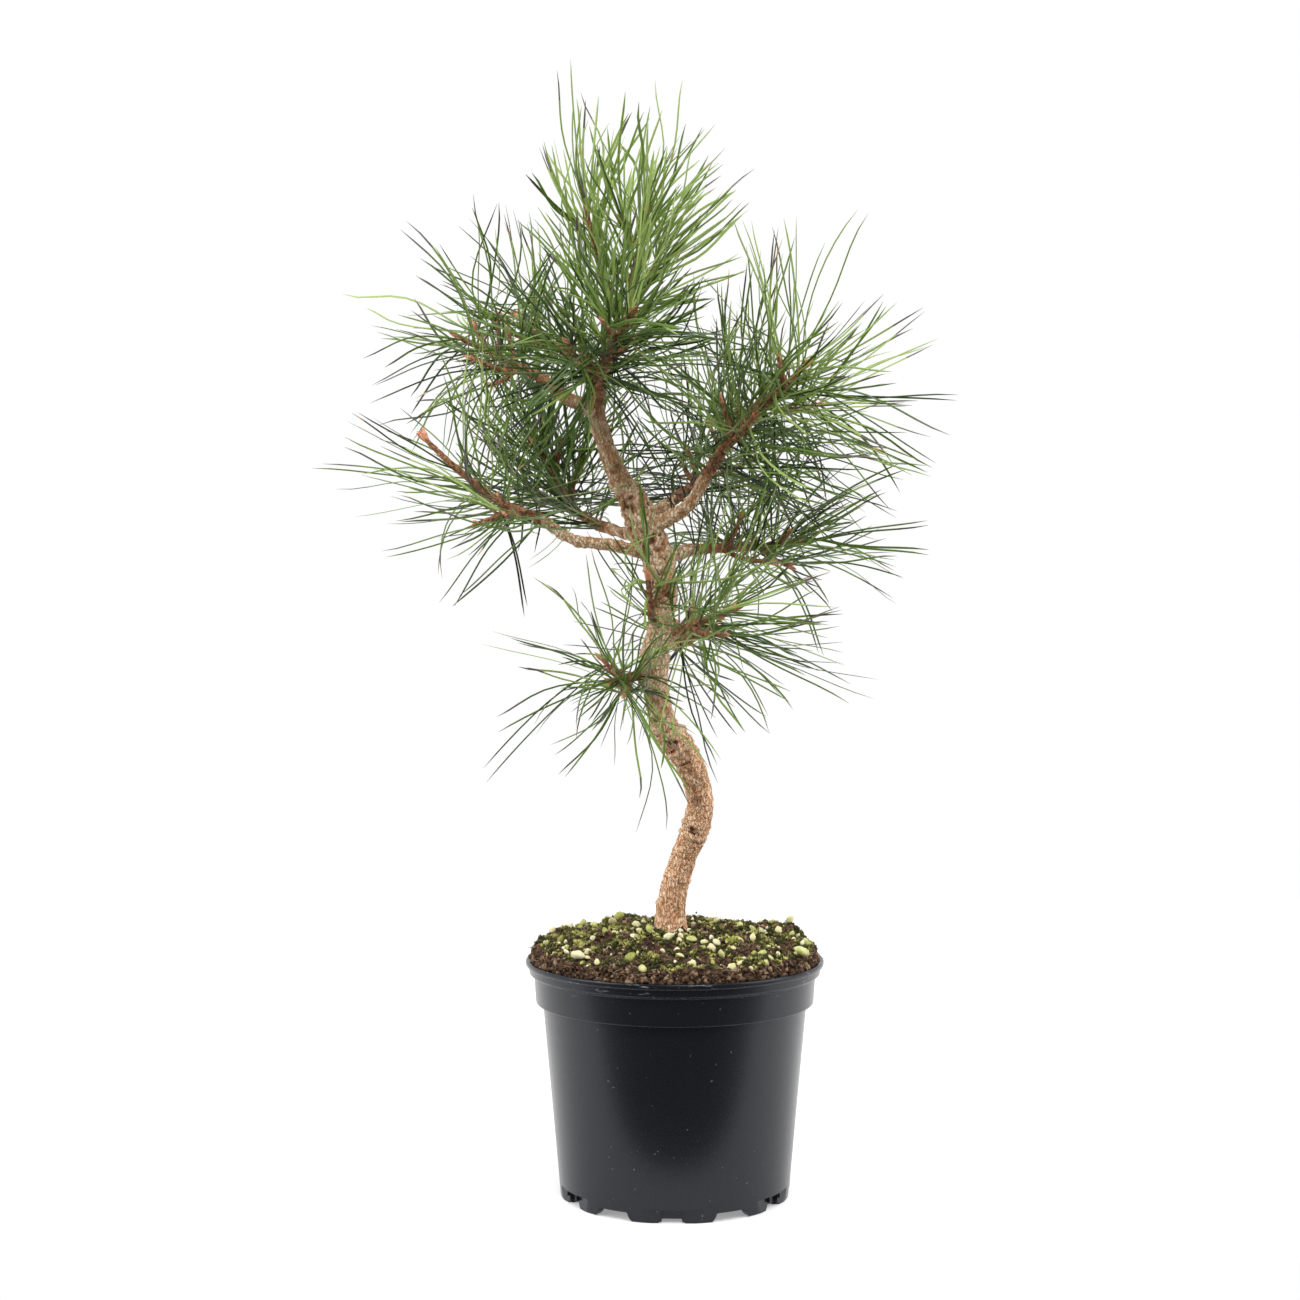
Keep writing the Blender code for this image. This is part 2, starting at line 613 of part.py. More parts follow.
def fuse(name, thing, collection):
    """Joins a collection's pieces to an object by one Boolean union, applied, and clears the pieces."""
    stem = thing.data
    for solver in UNION_SOLVERS:
        modifier = thing.modifiers.new("fuse", "BOOLEAN")
        modifier.operation = "UNION"
        modifier.solver = solver
        modifier.operand_type = "COLLECTION"
        modifier.collection = collection
        graph = bpy.context.evaluated_depsgraph_get()
        joined = bpy.data.meshes.new_from_object(thing.evaluated_get(graph))
        thing.modifiers.clear()
        keep_largest_shell(joined)
        if reach_of(joined) > 1.2 * reach_of(stem) and lowest_point(joined) <= lowest_point(stem) + MM:
            break
    thing.data = joined
    joined.name = name
    for piece in list(collection.objects):
        bpy.data.objects.remove(piece)
    bpy.data.collections.remove(collection)


def make_mass(name, forward, shoots, limbs, others, bark, green):
    """One mass of foliage: its stem, its twigs and its sprays of needles, fused into one solid."""
    node = "needles_" + name
    thing = object_from(drawn_out(limb_rings(shoots[0], STEM_SIDES, start=forward)), node, green)
    collection = bpy.data.collections.new(node + "_pieces")
    bpy.context.scene.collection.children.link(collection)
    for twig in shoots[1:]:
        object_from(drawn_out(limb_rings(twig, TWIG_SIDES)), "twig", bark, collection)
    for spray in place_sprays(name, shoots, limbs, others):
        add_spray(collection, green, *spray)
    fuse(node, thing, collection)
    return thing


def main():
    clear_scene()
    materials = make_materials()
    make_pot(materials["pot_plastic"])
    make_soil(materials["peat"])
    lines = {name: limb_line(name) for name in LIMBS}
    trunk_path, trunk_cutter = make_trunk(materials["bark"], lines["top"][2])
    limbs = [trunk_path]
    for name, (bough, _, forward) in lines.items():
        if LIMBS[name][0]:
            limbs.append(bough)
            rings = limb_rings(bough, BOUGH_SIDES, end=forward)
            thing = object_from(drawn_out(rings), "bough_" + name, materials["bark"])
            cut(thing, trunk_cutter)
            shade(thing, 60.0)
    shoots = {name: [stem] for name, (_, stem, _) in lines.items()}
    for name, own in shoots.items():
        others = [path for other, paths in shoots.items() if other != name for path in paths]
        own += grow_twigs(name, own[0], limbs, others)
    for name in LIMBS:
        others = [path for other, paths in shoots.items() if other != name for path in paths]
        make_mass(name, lines[name][2], shoots[name], limbs, others,
                  materials["bark"], materials["needle_green"])


main()
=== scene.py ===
"""The looks of a young potted pine: nursery pot, mossy peat, bark, buds and thousands of long needles.

Lengths are named in millimetres and become metres as each mesh is made. The frame holds the plain
solids that these pieces stand for, and every piece is made in place in that frame.
"""

import math
import random
from collections import namedtuple

import bmesh
import bpy
import numpy as np
from mathutils import Matrix, Vector, noise


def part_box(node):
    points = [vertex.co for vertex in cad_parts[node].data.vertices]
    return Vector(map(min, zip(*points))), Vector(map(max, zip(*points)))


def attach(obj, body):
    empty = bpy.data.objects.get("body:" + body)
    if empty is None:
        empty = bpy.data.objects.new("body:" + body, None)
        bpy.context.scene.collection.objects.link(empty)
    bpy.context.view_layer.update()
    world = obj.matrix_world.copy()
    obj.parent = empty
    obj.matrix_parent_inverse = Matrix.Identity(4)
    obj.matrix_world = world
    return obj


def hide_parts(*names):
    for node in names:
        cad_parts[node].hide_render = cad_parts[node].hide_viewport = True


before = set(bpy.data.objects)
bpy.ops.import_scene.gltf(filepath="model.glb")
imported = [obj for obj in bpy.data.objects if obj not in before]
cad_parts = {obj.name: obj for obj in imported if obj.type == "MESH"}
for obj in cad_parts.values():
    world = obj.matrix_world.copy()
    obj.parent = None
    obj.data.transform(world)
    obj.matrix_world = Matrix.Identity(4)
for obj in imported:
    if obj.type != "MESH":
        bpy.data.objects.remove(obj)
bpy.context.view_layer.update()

# Pot: a 3 litre nursery pot of black polypropylene, moulded in one shot with a rolled lip, a neck,
# a stacking band, and twelve feet round its edge with deep and low gaps between them by turns.
# Handling leaves pale scuffs on the lip, and dust settles on the wall as fine specks.
MM = 0.001
POT_SIDES = 168
LIP_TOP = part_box("pot")[1].z / MM
LIP_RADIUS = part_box("pot")[1].x / MM
LIP_DEPTH = 3.6
NECK_RADIUS = LIP_RADIUS - 1.8
BAND_TOP = LIP_TOP - 9.6
BAND_TOP_RADIUS = LIP_RADIUS - 5.3
BAND_FOOT = LIP_TOP - 27.0
BAND_FOOT_RADIUS = LIP_RADIUS - 6.4
BODY_TOP_RADIUS = LIP_RADIUS - 10.8
FOOT_RADIUS = LIP_RADIUS - 21.8
FOOT_RING_WIDTH = 7.0
POT_WALL = 1.6
FLOOR_UNDERSIDE = 9.0
PAD_RADIUS = 13.0
FEET_PAIRS = 6
FEET_TURN = math.radians(-2.0)
DEEP_GAP = (13.4, 8.4)
DEEP_GAP_SUNK = 3.8
SLOT = (12.8, 2.2)
LOW_GAP = (21.5, 5.4)
FOOT_PANEL = (12.4, 8.6)
FOOT_PANEL_SUNK = 1.8
FOOT_ROUNDING = (1.6, 2.6)
DRAIN_RADIUS = 5.0
DRAIN_CIRCLE = 56.0
PLASTIC = (0.0075, 0.008, 0.0105)
SCUFF = (0.50, 0.52, 0.56)


def add_node(tree, kind, inputs=(), **settings):
    """A shader node with its settings; each input is a value, or the output that feeds it."""
    made = tree.nodes.new("ShaderNode" + kind)
    for name, value in settings.items():
        setattr(made, name, value)
    for socket, value in dict(inputs).items():
        if isinstance(value, bpy.types.NodeSocket):
            tree.links.new(value, made.inputs[socket])
        else:
            made.inputs[socket].default_value = value
    return made


def new_group(name, inputs, outputs):
    """An empty shader group with named sockets, its input node and its output node."""
    tree = bpy.data.node_groups.new(name, "ShaderNodeTree")
    for socket, value in inputs.items():
        kind = "NodeSocketColor" if isinstance(value, tuple) else "NodeSocketFloat"
        made = tree.interface.new_socket(name=socket, in_out="INPUT", socket_type=kind)
        made.default_value = value
    for socket, kind in outputs.items():
        tree.interface.new_socket(name=socket, in_out="OUTPUT", socket_type="NodeSocket" + kind)
    return tree, tree.nodes.new("NodeGroupInput"), tree.nodes.new("NodeGroupOutput")


def stretched_place(tree, flat, tall):
    """Object coordinates multiplied by one scale sideways and another up."""
    place = add_node(tree, "TexCoord")
    scales = add_node(tree, "CombineXYZ", {"X": flat, "Y": flat, "Z": tall})
    return add_node(tree, "VectorMath", {0: place.outputs["Object"], 1: scales.outputs[0]},
                    operation="MULTIPLY").outputs[0]


def build_mottle():
    """Group: blotches from a noise of its own scale and stretch, as a sharp or soft mask and as a height."""
    tree, start, end = new_group(
        "mottle",
        {"Flat scale": 300.0, "Tall scale": 300.0, "Detail": 4.0, "Low": 0.4, "High": 0.6},
        {"Mask": "Float", "Height": "Float"})
    place = stretched_place(tree, start.outputs["Flat scale"], start.outputs["Tall scale"])
    cloud = add_node(tree, "TexNoise", {"Vector": place, "Scale": 1.0, "Detail": start.outputs["Detail"],
                                        "Roughness": 0.6})
    mask = add_node(tree, "MapRange", {"Value": cloud.outputs["Fac"], "From Min": start.outputs["Low"],
                                       "From Max": start.outputs["High"]}, interpolation_type="SMOOTHSTEP")
    tree.links.new(mask.outputs[0], end.inputs["Mask"])
    tree.links.new(cloud.outputs["Fac"], end.inputs["Height"])
    return tree


MOTTLE = build_mottle()


def mottle(tree, flat, tall, low=0.4, high=0.6, detail=4.0):
    """The mottle group in a material, with its own values."""
    return add_node(tree, "Group", {"Flat scale": flat, "Tall scale": tall, "Low": low, "High": high,
                                    "Detail": detail}, node_tree=MOTTLE)


def mixed(tree, mask, low, high):
    """A colour between two others by a mask."""
    made = add_node(tree, "Mix", {"Factor": mask}, data_type="RGBA")
    for socket, value in ((6, low), (7, high)):
        if isinstance(value, bpy.types.NodeSocket):
            tree.links.new(value, made.inputs[socket])
        else:
            made.inputs[socket].default_value = (*value, 1.0)
    return made.outputs[2]


def new_material(name, colour=(0.5, 0.5, 0.5), roughness=0.5, **sockets):
    """A material of one Principled BSDF; its constant values are set on the shader's own sockets."""
    made = bpy.data.materials.new(name)
    made.use_nodes = True
    surface = made.node_tree.nodes["Principled BSDF"]
    surface.inputs["Base Color"].default_value = (*colour, 1.0)
    surface.inputs["Roughness"].default_value = roughness
    for socket, value in sockets.items():
        surface.inputs[socket.replace("_", " ")].default_value = value
    return made, made.node_tree, surface


def bump(tree, surface, height, strength, distance):
    """A bump of a height that feeds the shader's normal; distance in millimetres."""
    made = add_node(tree, "Bump", {"Height": height, "Strength": strength, "Distance": distance * MM})
    tree.links.new(made.outputs["Normal"], surface.inputs["Normal"])


def black_plastic():
    made, tree, surface = new_material("black_plastic", PLASTIC, 0.3, Specular_IOR_Level=0.36,
                                       Specular_Tint=(0.92, 0.94, 1.0, 1.0))
    grain = mottle(tree, 1600.0, 1600.0, 0.3, 0.7)
    scuffs = mottle(tree, 90.0, 420.0, 0.60, 0.74, 6.0)
    specks = mottle(tree, 400.0, 400.0, 0.765, 0.79, 1.0)
    place = add_node(tree, "TexCoord")
    height = add_node(tree, "SeparateXYZ", {0: place.outputs["Object"]})
    near_lip = add_node(tree, "MapRange", {"Value": height.outputs["Z"], "From Min": (LIP_TOP - 14) * MM,
                                           "From Max": LIP_TOP * MM, "To Max": 0.55})
    rubbed = add_node(tree, "Math", {0: near_lip.outputs[0], 1: scuffs.outputs["Mask"]}, operation="MULTIPLY")
    dusty = add_node(tree, "Math", {0: specks.outputs["Mask"], 1: 0.22}, operation="MULTIPLY")
    marks = add_node(tree, "Math", {0: rubbed.outputs[0], 1: dusty.outputs[0]}, operation="MAXIMUM")
    tree.links.new(mixed(tree, marks.outputs[0], PLASTIC, SCUFF), surface.inputs["Base Color"])
    roughness = add_node(tree, "MapRange", {"Value": grain.outputs["Height"], "From Min": 0.3,
                                            "From Max": 0.7, "To Min": 0.20, "To Max": 0.30})
    tree.links.new(roughness.outputs[0], surface.inputs["Roughness"])
    bump(tree, surface, grain.outputs["Height"], 0.25, 0.1)
    return made


def rounded(corners, steps=4):
    """A profile whose corners, given as radius, height and rounding, become short arcs."""
    line = []
    for number, (radius, height, rounding) in enumerate(corners):
        here = Vector((radius, height))
        if rounding == 0.0:
            line.append(here)
            continue
        before = (Vector(corners[number - 1][:2]) - here).normalized() * rounding
        after = (Vector(corners[number + 1][:2]) - here).normalized() * rounding
        for step in range(steps + 1):
            t = step / steps
            line.append(here + before * (1 - t) ** 2 + after * t ** 2)
    return line


def inner_radius(height):
    """The radius of the pot's inner wall at a height."""
    heights = (FLOOR_UNDERSIDE, BAND_FOOT + POT_WALL, BAND_FOOT + 2.4 * POT_WALL, BAND_TOP, BAND_TOP + 2.0,
               LIP_TOP)
    outer = (FOOT_RADIUS + 0.8, BODY_TOP_RADIUS, BAND_FOOT_RADIUS, BAND_TOP_RADIUS, NECK_RADIUS - 0.4,
             NECK_RADIUS)
    return float(np.interp(height, heights, outer)) - POT_WALL


def pot_profile():
    """The pot's section from the middle of its underside, up the outside and down the inside."""
    ring_inside = FOOT_RADIUS - FOOT_RING_WIDTH
    floor_top = FLOOR_UNDERSIDE + POT_WALL
    bead_foot = LIP_TOP - LIP_DEPTH
    outside = (
        (0.0, 0.0, 0.0), (PAD_RADIUS, 0.0, 1.0), (PAD_RADIUS + 0.6, FLOOR_UNDERSIDE, 0.5),
        (ring_inside, FLOOR_UNDERSIDE, 0.8), (ring_inside + 0.6, 0.0, 0.6), (FOOT_RADIUS, 0.0, 0.7),
        (FOOT_RADIUS + 0.9, FLOOR_UNDERSIDE + 3.0, 0.0), (BODY_TOP_RADIUS, BAND_FOOT, 0.6),
        (BAND_FOOT_RADIUS, BAND_FOOT, 0.9), (BAND_TOP_RADIUS, BAND_TOP, 0.6),
        (NECK_RADIUS - 0.5, BAND_TOP + 1.4, 0.7), (NECK_RADIUS, bead_foot, 0.3),
        (LIP_RADIUS, bead_foot + 0.3, 1.0), (LIP_RADIUS, LIP_TOP, 1.1),
        (inner_radius(LIP_TOP), LIP_TOP, 0.8),
    )
    inside = [(inner_radius(height), height, 0.0) for height in (
        BAND_TOP + 2.0, BAND_TOP, BAND_FOOT + 2.4 * POT_WALL, BAND_FOOT + POT_WALL, floor_top)]
    return rounded((*outside, *inside, (0.0, floor_top, 0.0)))


def finished(mesh, name, materials, slot, *nodes, sharp=40.0):
    """The bmesh as a piece that rides on the plant and stands for the CAD nodes; the slot argument is not used."""
    data = bpy.data.meshes.new(name)
    mesh.to_mesh(data)
    mesh.free()
    return finished_data(data, name, materials, slot, *nodes, sharp=sharp)


def finished_data(data, name, materials, slot, *nodes, sharp=40.0):
    for material in materials:
        data.materials.append(material)
    data.shade_smooth()
    if sharp:
        data.set_sharp_from_angle(angle=math.radians(sharp))
    piece = bpy.data.objects.new(name, data)
    bpy.context.scene.collection.objects.link(piece)
    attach(piece, "root")
    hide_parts(*nodes)
    return piece


def add_gap(mesh, turn, width, height, depth, foot_rounding, aside=0.0, top_rounding=1.2):
    """A cutter through the foot ring: a flat outline with round corners, drawn out towards the rim."""
    below = 3.0
    flare = foot_rounding
    outline = rounded((
        (-width / 2 - flare, -below, 0.0), (-width / 2 - flare, 0.0, 0.0),
        (-width / 2, foot_rounding, foot_rounding * 0.9), (-width / 2 + 0.4, height, top_rounding),
        (width / 2 - 0.4, height, top_rounding), (width / 2, foot_rounding, foot_rounding * 0.9),
        (width / 2 + flare, 0.0, 0.0), (width / 2 + flare, -below, 0.0)))
    near, far = depth
    corners = [mesh.verts.new((aside + across, -near, up)) for across, up in outline]
    front = mesh.faces.new(corners)
    made = bmesh.ops.extrude_face_region(mesh, geom=[front])["geom"]
    moved = [corner for corner in made if isinstance(corner, bmesh.types.BMVert)]
    bmesh.ops.translate(mesh, verts=moved, vec=(0.0, near - far, 0.0))
    turned = Matrix.Rotation(turn, 4, "Z")
    bmesh.ops.transform(mesh, matrix=Matrix.Scale(MM, 4) @ turned, verts=corners + moved)


def carve(piece, mesh):
    """Takes the shape in a bmesh away from the piece."""
    bmesh.ops.recalc_face_normals(mesh, faces=mesh.faces)
    data = bpy.data.meshes.new("cutter")
    mesh.to_mesh(data)
    mesh.free()
    cutter = bpy.data.objects.new("cutter", data)
    bpy.context.scene.collection.objects.link(cutter)
    modifier = piece.modifiers.new("carve", "BOOLEAN")
    modifier.solver = "EXACT"
    modifier.object = cutter
    graph = bpy.context.evaluated_depsgraph_get()
    made = bpy.data.meshes.new_from_object(piece.evaluated_get(graph))
    piece.modifiers.clear()
    piece.data = made
    bpy.data.objects.remove(cutter)


def make_pot():
    mesh = bmesh.new()
    corners = [mesh.verts.new((radius * MM, 0.0, height * MM)) for radius, height in pot_profile()]
    edges = [mesh.edges.new(pair) for pair in zip(corners, corners[1:])]
    bmesh.ops.spin(mesh, geom=corners + edges, cent=(0, 0, 0), axis=(0, 0, 1), angle=math.tau,
                   steps=POT_SIDES, use_merge=True)
    bmesh.ops.remove_doubles(mesh, verts=mesh.verts, dist=0.00001)
    bmesh.ops.recalc_face_normals(mesh, faces=mesh.faces)
    pot = finished(mesh, "nursery_pot", [black_plastic()], "pot_plastic", "pot", sharp=0.0)
    low_gaps, panels, deep_gaps, slots = (bmesh.new() for _ in range(4))
    pitch = math.tau / FEET_PAIRS
    outside = FOOT_RADIUS + 6.0
    through = (outside, FOOT_RADIUS - FOOT_RING_WIDTH - 1.5)
    aside = (DEEP_GAP[0] + FOOT_PANEL[0] - 0.8) / 2
    for number in range(FEET_PAIRS):
        deep = FEET_TURN + pitch * number
        low = deep + pitch / 2
        add_gap(low_gaps, low, *LOW_GAP, through, FOOT_ROUNDING[1])
        for side in (-1, 1):
            add_gap(panels, deep, *FOOT_PANEL, (outside, FOOT_RADIUS - FOOT_PANEL_SUNK), 0.3, side * aside)
        add_gap(deep_gaps, deep, *DEEP_GAP, (outside, FOOT_RADIUS - DEEP_GAP_SUNK), FOOT_ROUNDING[0])
        add_gap(slots, deep, *SLOT, through, 0.3, top_rounding=0.4)
        turned = Matrix.Rotation(low, 4, "Z")
        place = Matrix.Translation(Vector((0, -DRAIN_CIRCLE, FLOOR_UNDERSIDE)) * MM)
        bmesh.ops.create_cone(low_gaps, cap_ends=True, segments=32, radius1=DRAIN_RADIUS * MM,
                              radius2=DRAIN_RADIUS * MM, depth=8 * MM, matrix=turned @ place)
    for cutter in (low_gaps, panels, deep_gaps, slots):
        carve(pot, cutter)
    pot.data.shade_smooth()
    pot.data.set_sharp_from_angle(angle=math.radians(28.0))


make_pot()

# Peat: damp dark peat that fills the pot, stands a little above the rim and rises to the trunk. It is
# crumbly, and the bare brown side shows as a band above the lip. Each crumb is a small loose lump.
SOIL_SIDES = 220
SOIL_SEAT = 167.0
SOIL_SEAT_RADIUS = 14.0
SOIL_RIM_RADIUS = 89.0
SOIL_EDGE_TOP = 157.5
SOIL_FOOT = (-2.0, 8.0)
SOIL_MOUNDS = ((-36.0, 55.0, 3.0, 17.0), (72.0, 36.0, 5.0, 16.0))
SOIL_RING_STEP = 1.1
CRUMB_COUNT = 5200


def drawn_out(rings, reliefs=()):
    """A closed bmesh, drawn out ring by ring; reliefs tell how far each point stands out, as an attribute."""
    mesh = bmesh.new()
    layer = mesh.verts.layers.float.new("relief") if reliefs else None
    first = mesh.faces.new([mesh.verts.new(point * MM) for point in rings[0]])
    cap = first
    for number, ring in enumerate(rings[1:], 1):
        made = bmesh.ops.extrude_face_region(mesh, geom=[cap])["geom"]
        if cap is not first:
            mesh.faces.remove(cap)
        cap = next(piece for piece in made if isinstance(piece, bmesh.types.BMFace))
        for place, (corner, point) in enumerate(zip(cap.verts, ring)):
            corner.co = point * MM
            if layer:
                corner[layer] = reliefs[number][place]
    bmesh.ops.recalc_face_normals(mesh, faces=mesh.faces)
    return mesh


def soil_height(x, y):
    """The top of the peat: a low dome with mounds, wide lumps and fine crumble."""
    out_x, out_y = x - SOIL_FOOT[0], y - SOIL_FOOT[1]
    radius = math.hypot(out_x, out_y)
    share = min(1.0, max(0.0, (radius - SOIL_SEAT_RADIUS) / (SOIL_RIM_RADIUS - SOIL_SEAT_RADIUS)))
    dome = SOIL_SEAT + (SOIL_EDGE_TOP - SOIL_SEAT) * share ** 2
    mounds = sum(height * math.exp(-((x - mid_x) ** 2 + (y - mid_y) ** 2) / spread ** 2)
                 for mid_x, mid_y, height, spread in SOIL_MOUNDS)
    lumps = 4.4 * noise.noise(Vector((x, y, 40.0)) / 15.0)
    rough = 2.6 * noise.noise(Vector((x, y, 7.0)) / 5.0) + 1.4 * noise.noise(Vector((x, y, 3.0)) / 2.0)
    return dome + mounds * min(1.0, 3 * share) + lumps * min(1.0, 3 * share) + rough


def damp_peat(name, dark, light, flat=420.0):
    made, tree, surface = new_material(name, dark, 0.95, Specular_IOR_Level=0.25)
    crumbs = mottle(tree, flat, flat, 0.38, 0.66, 6.0)
    stains = mottle(tree, 60.0, 60.0, 0.35, 0.65)
    damp = mixed(tree, stains.outputs["Mask"], dark, tuple(0.55 * part for part in dark))
    tree.links.new(mixed(tree, crumbs.outputs["Mask"], damp, light), surface.inputs["Base Color"])
    bump(tree, surface, crumbs.outputs["Height"], 0.8, 0.8)
    return made


def make_soil(peat):
    turns = [math.tau * place / SOIL_SIDES for place in range(SOIL_SIDES)]
    floor_top = FLOOR_UNDERSIDE + POT_WALL + 0.3
    rings = []
    for height in (floor_top, BAND_FOOT + POT_WALL, BAND_FOOT + 2.4 * POT_WALL, BAND_TOP, BAND_TOP + 2.0,
                   LIP_TOP - 1.0, LIP_TOP + 1.5, LIP_TOP + 3.5, LIP_TOP + 5.5):
        radius = inner_radius(height) - 0.6
        ring = []
        for turn in turns:
            way = Vector((math.cos(turn), math.sin(turn), 0.0))
            above = max(0.0, height - LIP_TOP)
            crumble = 1.3 * min(1.0, above) * noise.noise(way * 26.0 + Vector((0, 0, 0.7 * height)))
            ring.append(way * (radius - 0.25 * above + crumble - 0.4 * min(1.0, above))
                        + Vector((0, 0, height)))
        rings.append(ring)
    count = int((SOIL_RIM_RADIUS - 1.0) / SOIL_RING_STEP)
    for number in range(count):
        radius = SOIL_RIM_RADIUS * (1 - number / count) ** 0.9
        ring = []
        for turn in turns:
            share = radius / SOIL_RIM_RADIUS
            x = SOIL_FOOT[0] * (1 - share) + radius * math.cos(turn)
            y = SOIL_FOOT[1] * (1 - share) + radius * math.sin(turn)
            ring.append(Vector((x, y, soil_height(x, y))))
        rings.append(ring)
    return finished(drawn_out(rings), "peat_fill", [peat], "peat", "soil", sharp=0.0)


def spot_on_soil(chance, rim=SOIL_RIM_RADIUS):
    """A chance place on the top of the peat, evenly spread, clear of the trunk's foot."""
    while True:
        turn = chance.uniform(0, math.tau)
        radius = rim * math.sqrt(chance.random())
        x, y = radius * math.cos(turn), radius * math.sin(turn)
        if math.hypot(x - SOIL_FOOT[0], y - SOIL_FOOT[1]) > SOIL_SEAT_RADIUS - 1.5:
            return Vector((x, y, soil_height(x, y)))


def lump_shape(subdivisions):
    """The points and faces of a small round lump, to be copied many times."""
    mesh = bmesh.new()
    bmesh.ops.create_icosphere(mesh, subdivisions=subdivisions, radius=1.0)
    points = np.array([corner.co[:] for corner in mesh.verts])
    faces = np.array([[corner.index for corner in face.verts] for face in mesh.faces])
    mesh.free()
    return points, faces


def joined_copies(name, shape, matrices, materials, kinds, slot, *nodes, sharp=0.0, uneven=0.0, seed=1):
    """Many copies of one shape as one mesh; matrices turn, scale and place each one, in millimetres."""
    points, faces = shape
    copies = np.array(matrices)
    count = len(copies)
    spread = np.random.default_rng(seed)
    base = np.repeat(points[None], count, axis=0)
    if uneven:
        base = base * (1 + uneven * spread.uniform(-1, 1, (count, len(points), 1)))
    placed = np.einsum("nij,nkj->nki", copies[:, :3, :3], base) + copies[:, None, :3, 3]
    corners = faces[None] + (np.arange(count) * len(points))[:, None, None]
    data = bpy.data.meshes.new(name)
    data.vertices.add(count * len(points))
    data.vertices.foreach_set("co", (placed * MM).astype(np.float32).ravel())
    add_faces(data, corners.reshape(-1, faces.shape[1]))
    for_each = np.repeat(np.array(kinds, dtype=np.int32), len(faces))
    data.polygons.foreach_set("material_index", for_each)
    data.update()
    data.validate()
    return finished_data(data, name, materials, slot, *nodes, sharp=sharp)


def add_faces(data, corners):
    """Gives a mesh its faces, all with the same number of corners."""
    count, sides = corners.shape
    data.loops.add(count * sides)
    data.loops.foreach_set("vertex_index", corners.astype(np.int32).ravel())
    data.polygons.add(count)
    data.polygons.foreach_set("loop_start", np.arange(0, count * sides, sides, dtype=np.int32))


def chance_matrix(place, size, chance):
    """A chance turn, the size along each of its axes, and a place."""
    turned = Matrix.Rotation(chance.uniform(0, math.tau), 4, "Z")
    turned @= Matrix.Rotation(chance.uniform(-1.2, 1.2), 4, "X")
    turned @= Matrix.Rotation(chance.uniform(0, math.tau), 4, "Z")
    return Matrix.Translation(place) @ turned @ Matrix.Diagonal((*size, 1.0))


def scatter_crumbs(peat, brown):
    chance = random.Random(21)
    places = []
    for number in range(CRUMB_COUNT):
        size = 0.5 + 2.1 * chance.random() ** 2.6
        if number % 3 == 0:
            turn = chance.uniform(0, math.tau)
            height = LIP_TOP + chance.uniform(-0.5, 7.0)
            radius = inner_radius(height) - 0.8 - 0.25 * (height - LIP_TOP)
            spot = Vector((radius * math.cos(turn), radius * math.sin(turn), height))
        else:
            spot = spot_on_soil(chance)
        sizes = [size * chance.uniform(0.6, 1.2) for _ in range(3)]
        places.append(chance_matrix(spot, sizes, chance))
    kinds = [chance.choice((0, 0, 1)) for _ in places]
    joined_copies("peat_crumbs", lump_shape(1), places, [peat, brown], kinds, "peat", "soil", uneven=0.5)


peat = damp_peat("damp_peat", (0.020, 0.010, 0.006), (0.135, 0.075, 0.042))
brown_peat = damp_peat("brown_peat", (0.085, 0.042, 0.023), (0.37, 0.25, 0.155))
make_soil(peat)
scatter_crumbs(peat, brown_peat)

# Moss and pale grains: low cushions of moss have grown over the peat, from dark green to yellow-green,
# and between them lie cream and yellow-green grains, pointed like small buds and creased lengthwise.
MOSS_SPIKES = 19000
MOSS_LUMPS = 4200
MOSS_HEIGHT = 2.4
CUSHION_HEIGHT = 3.2
GRAIN_COUNT = 230
GRAIN_COLOURS = (((0.82, 0.74, 0.46), (0.62, 0.57, 0.28)), ((0.70, 0.68, 0.34), (0.40, 0.43, 0.12)),
                 ((0.88, 0.84, 0.62), (0.70, 0.65, 0.38)), ((0.50, 0.50, 0.16), (0.27, 0.30, 0.06)))
NAMED_GRAINS = ((-60.0, -62.0, 8.0), (-28.0, -66.0, 7.0), (22.0, -52.0, 6.0), (78.0, -46.0, 9.0),
                (10.0, -78.0, 6.5), (40.0, -66.0, 6.0), (-4.0, -30.0, 6.0), (10.0, -34.0, 6.0),
                (28.0, -60.0, 5.5), (-52.0, 44.0, 7.0), (-36.0, 52.0, 7.5), (-62.0, 28.0, 6.0))


def plain_rough(name, colour, other, flat, roughness=0.8):
    """A rough stuff whose colour shifts softly to another."""
    made, tree, surface = new_material(name, colour, roughness, Specular_IOR_Level=0.3)
    shift = mottle(tree, flat, flat, 0.35, 0.65)
    tree.links.new(mixed(tree, shift.outputs["Mask"], colour, other), surface.inputs["Base Color"])
    bump(tree, surface, shift.outputs["Height"], 0.4, 0.3)
    return made


def spike_shape():
    """A three-sided spike, one unit tall, closed at its foot."""
    mesh = bmesh.new()
    bmesh.ops.create_cone(mesh, cap_ends=True, cap_tris=True, segments=3, radius1=1.0, radius2=0.0,
                          depth=1.0, matrix=Matrix.Translation((0, 0, 0.5)))
    bmesh.ops.remove_doubles(mesh, verts=mesh.verts, dist=0.0001)
    bmesh.ops.triangulate(mesh, faces=mesh.faces)
    points = np.array([corner.co[:] for corner in mesh.verts])
    faces = np.array([[corner.index for corner in face.verts] for face in mesh.faces])
    mesh.free()
    return points, faces


def cushion(spot):
    """How thick the moss lies at a spot, from none to a full cushion."""
    patch = noise.noise(Vector((spot.x, spot.y, 11.0)) / 13.0) + 0.4 * noise.noise(spot / 5.0)
    return min(1.0, max(0.0, 3.0 * (patch + 0.20)))


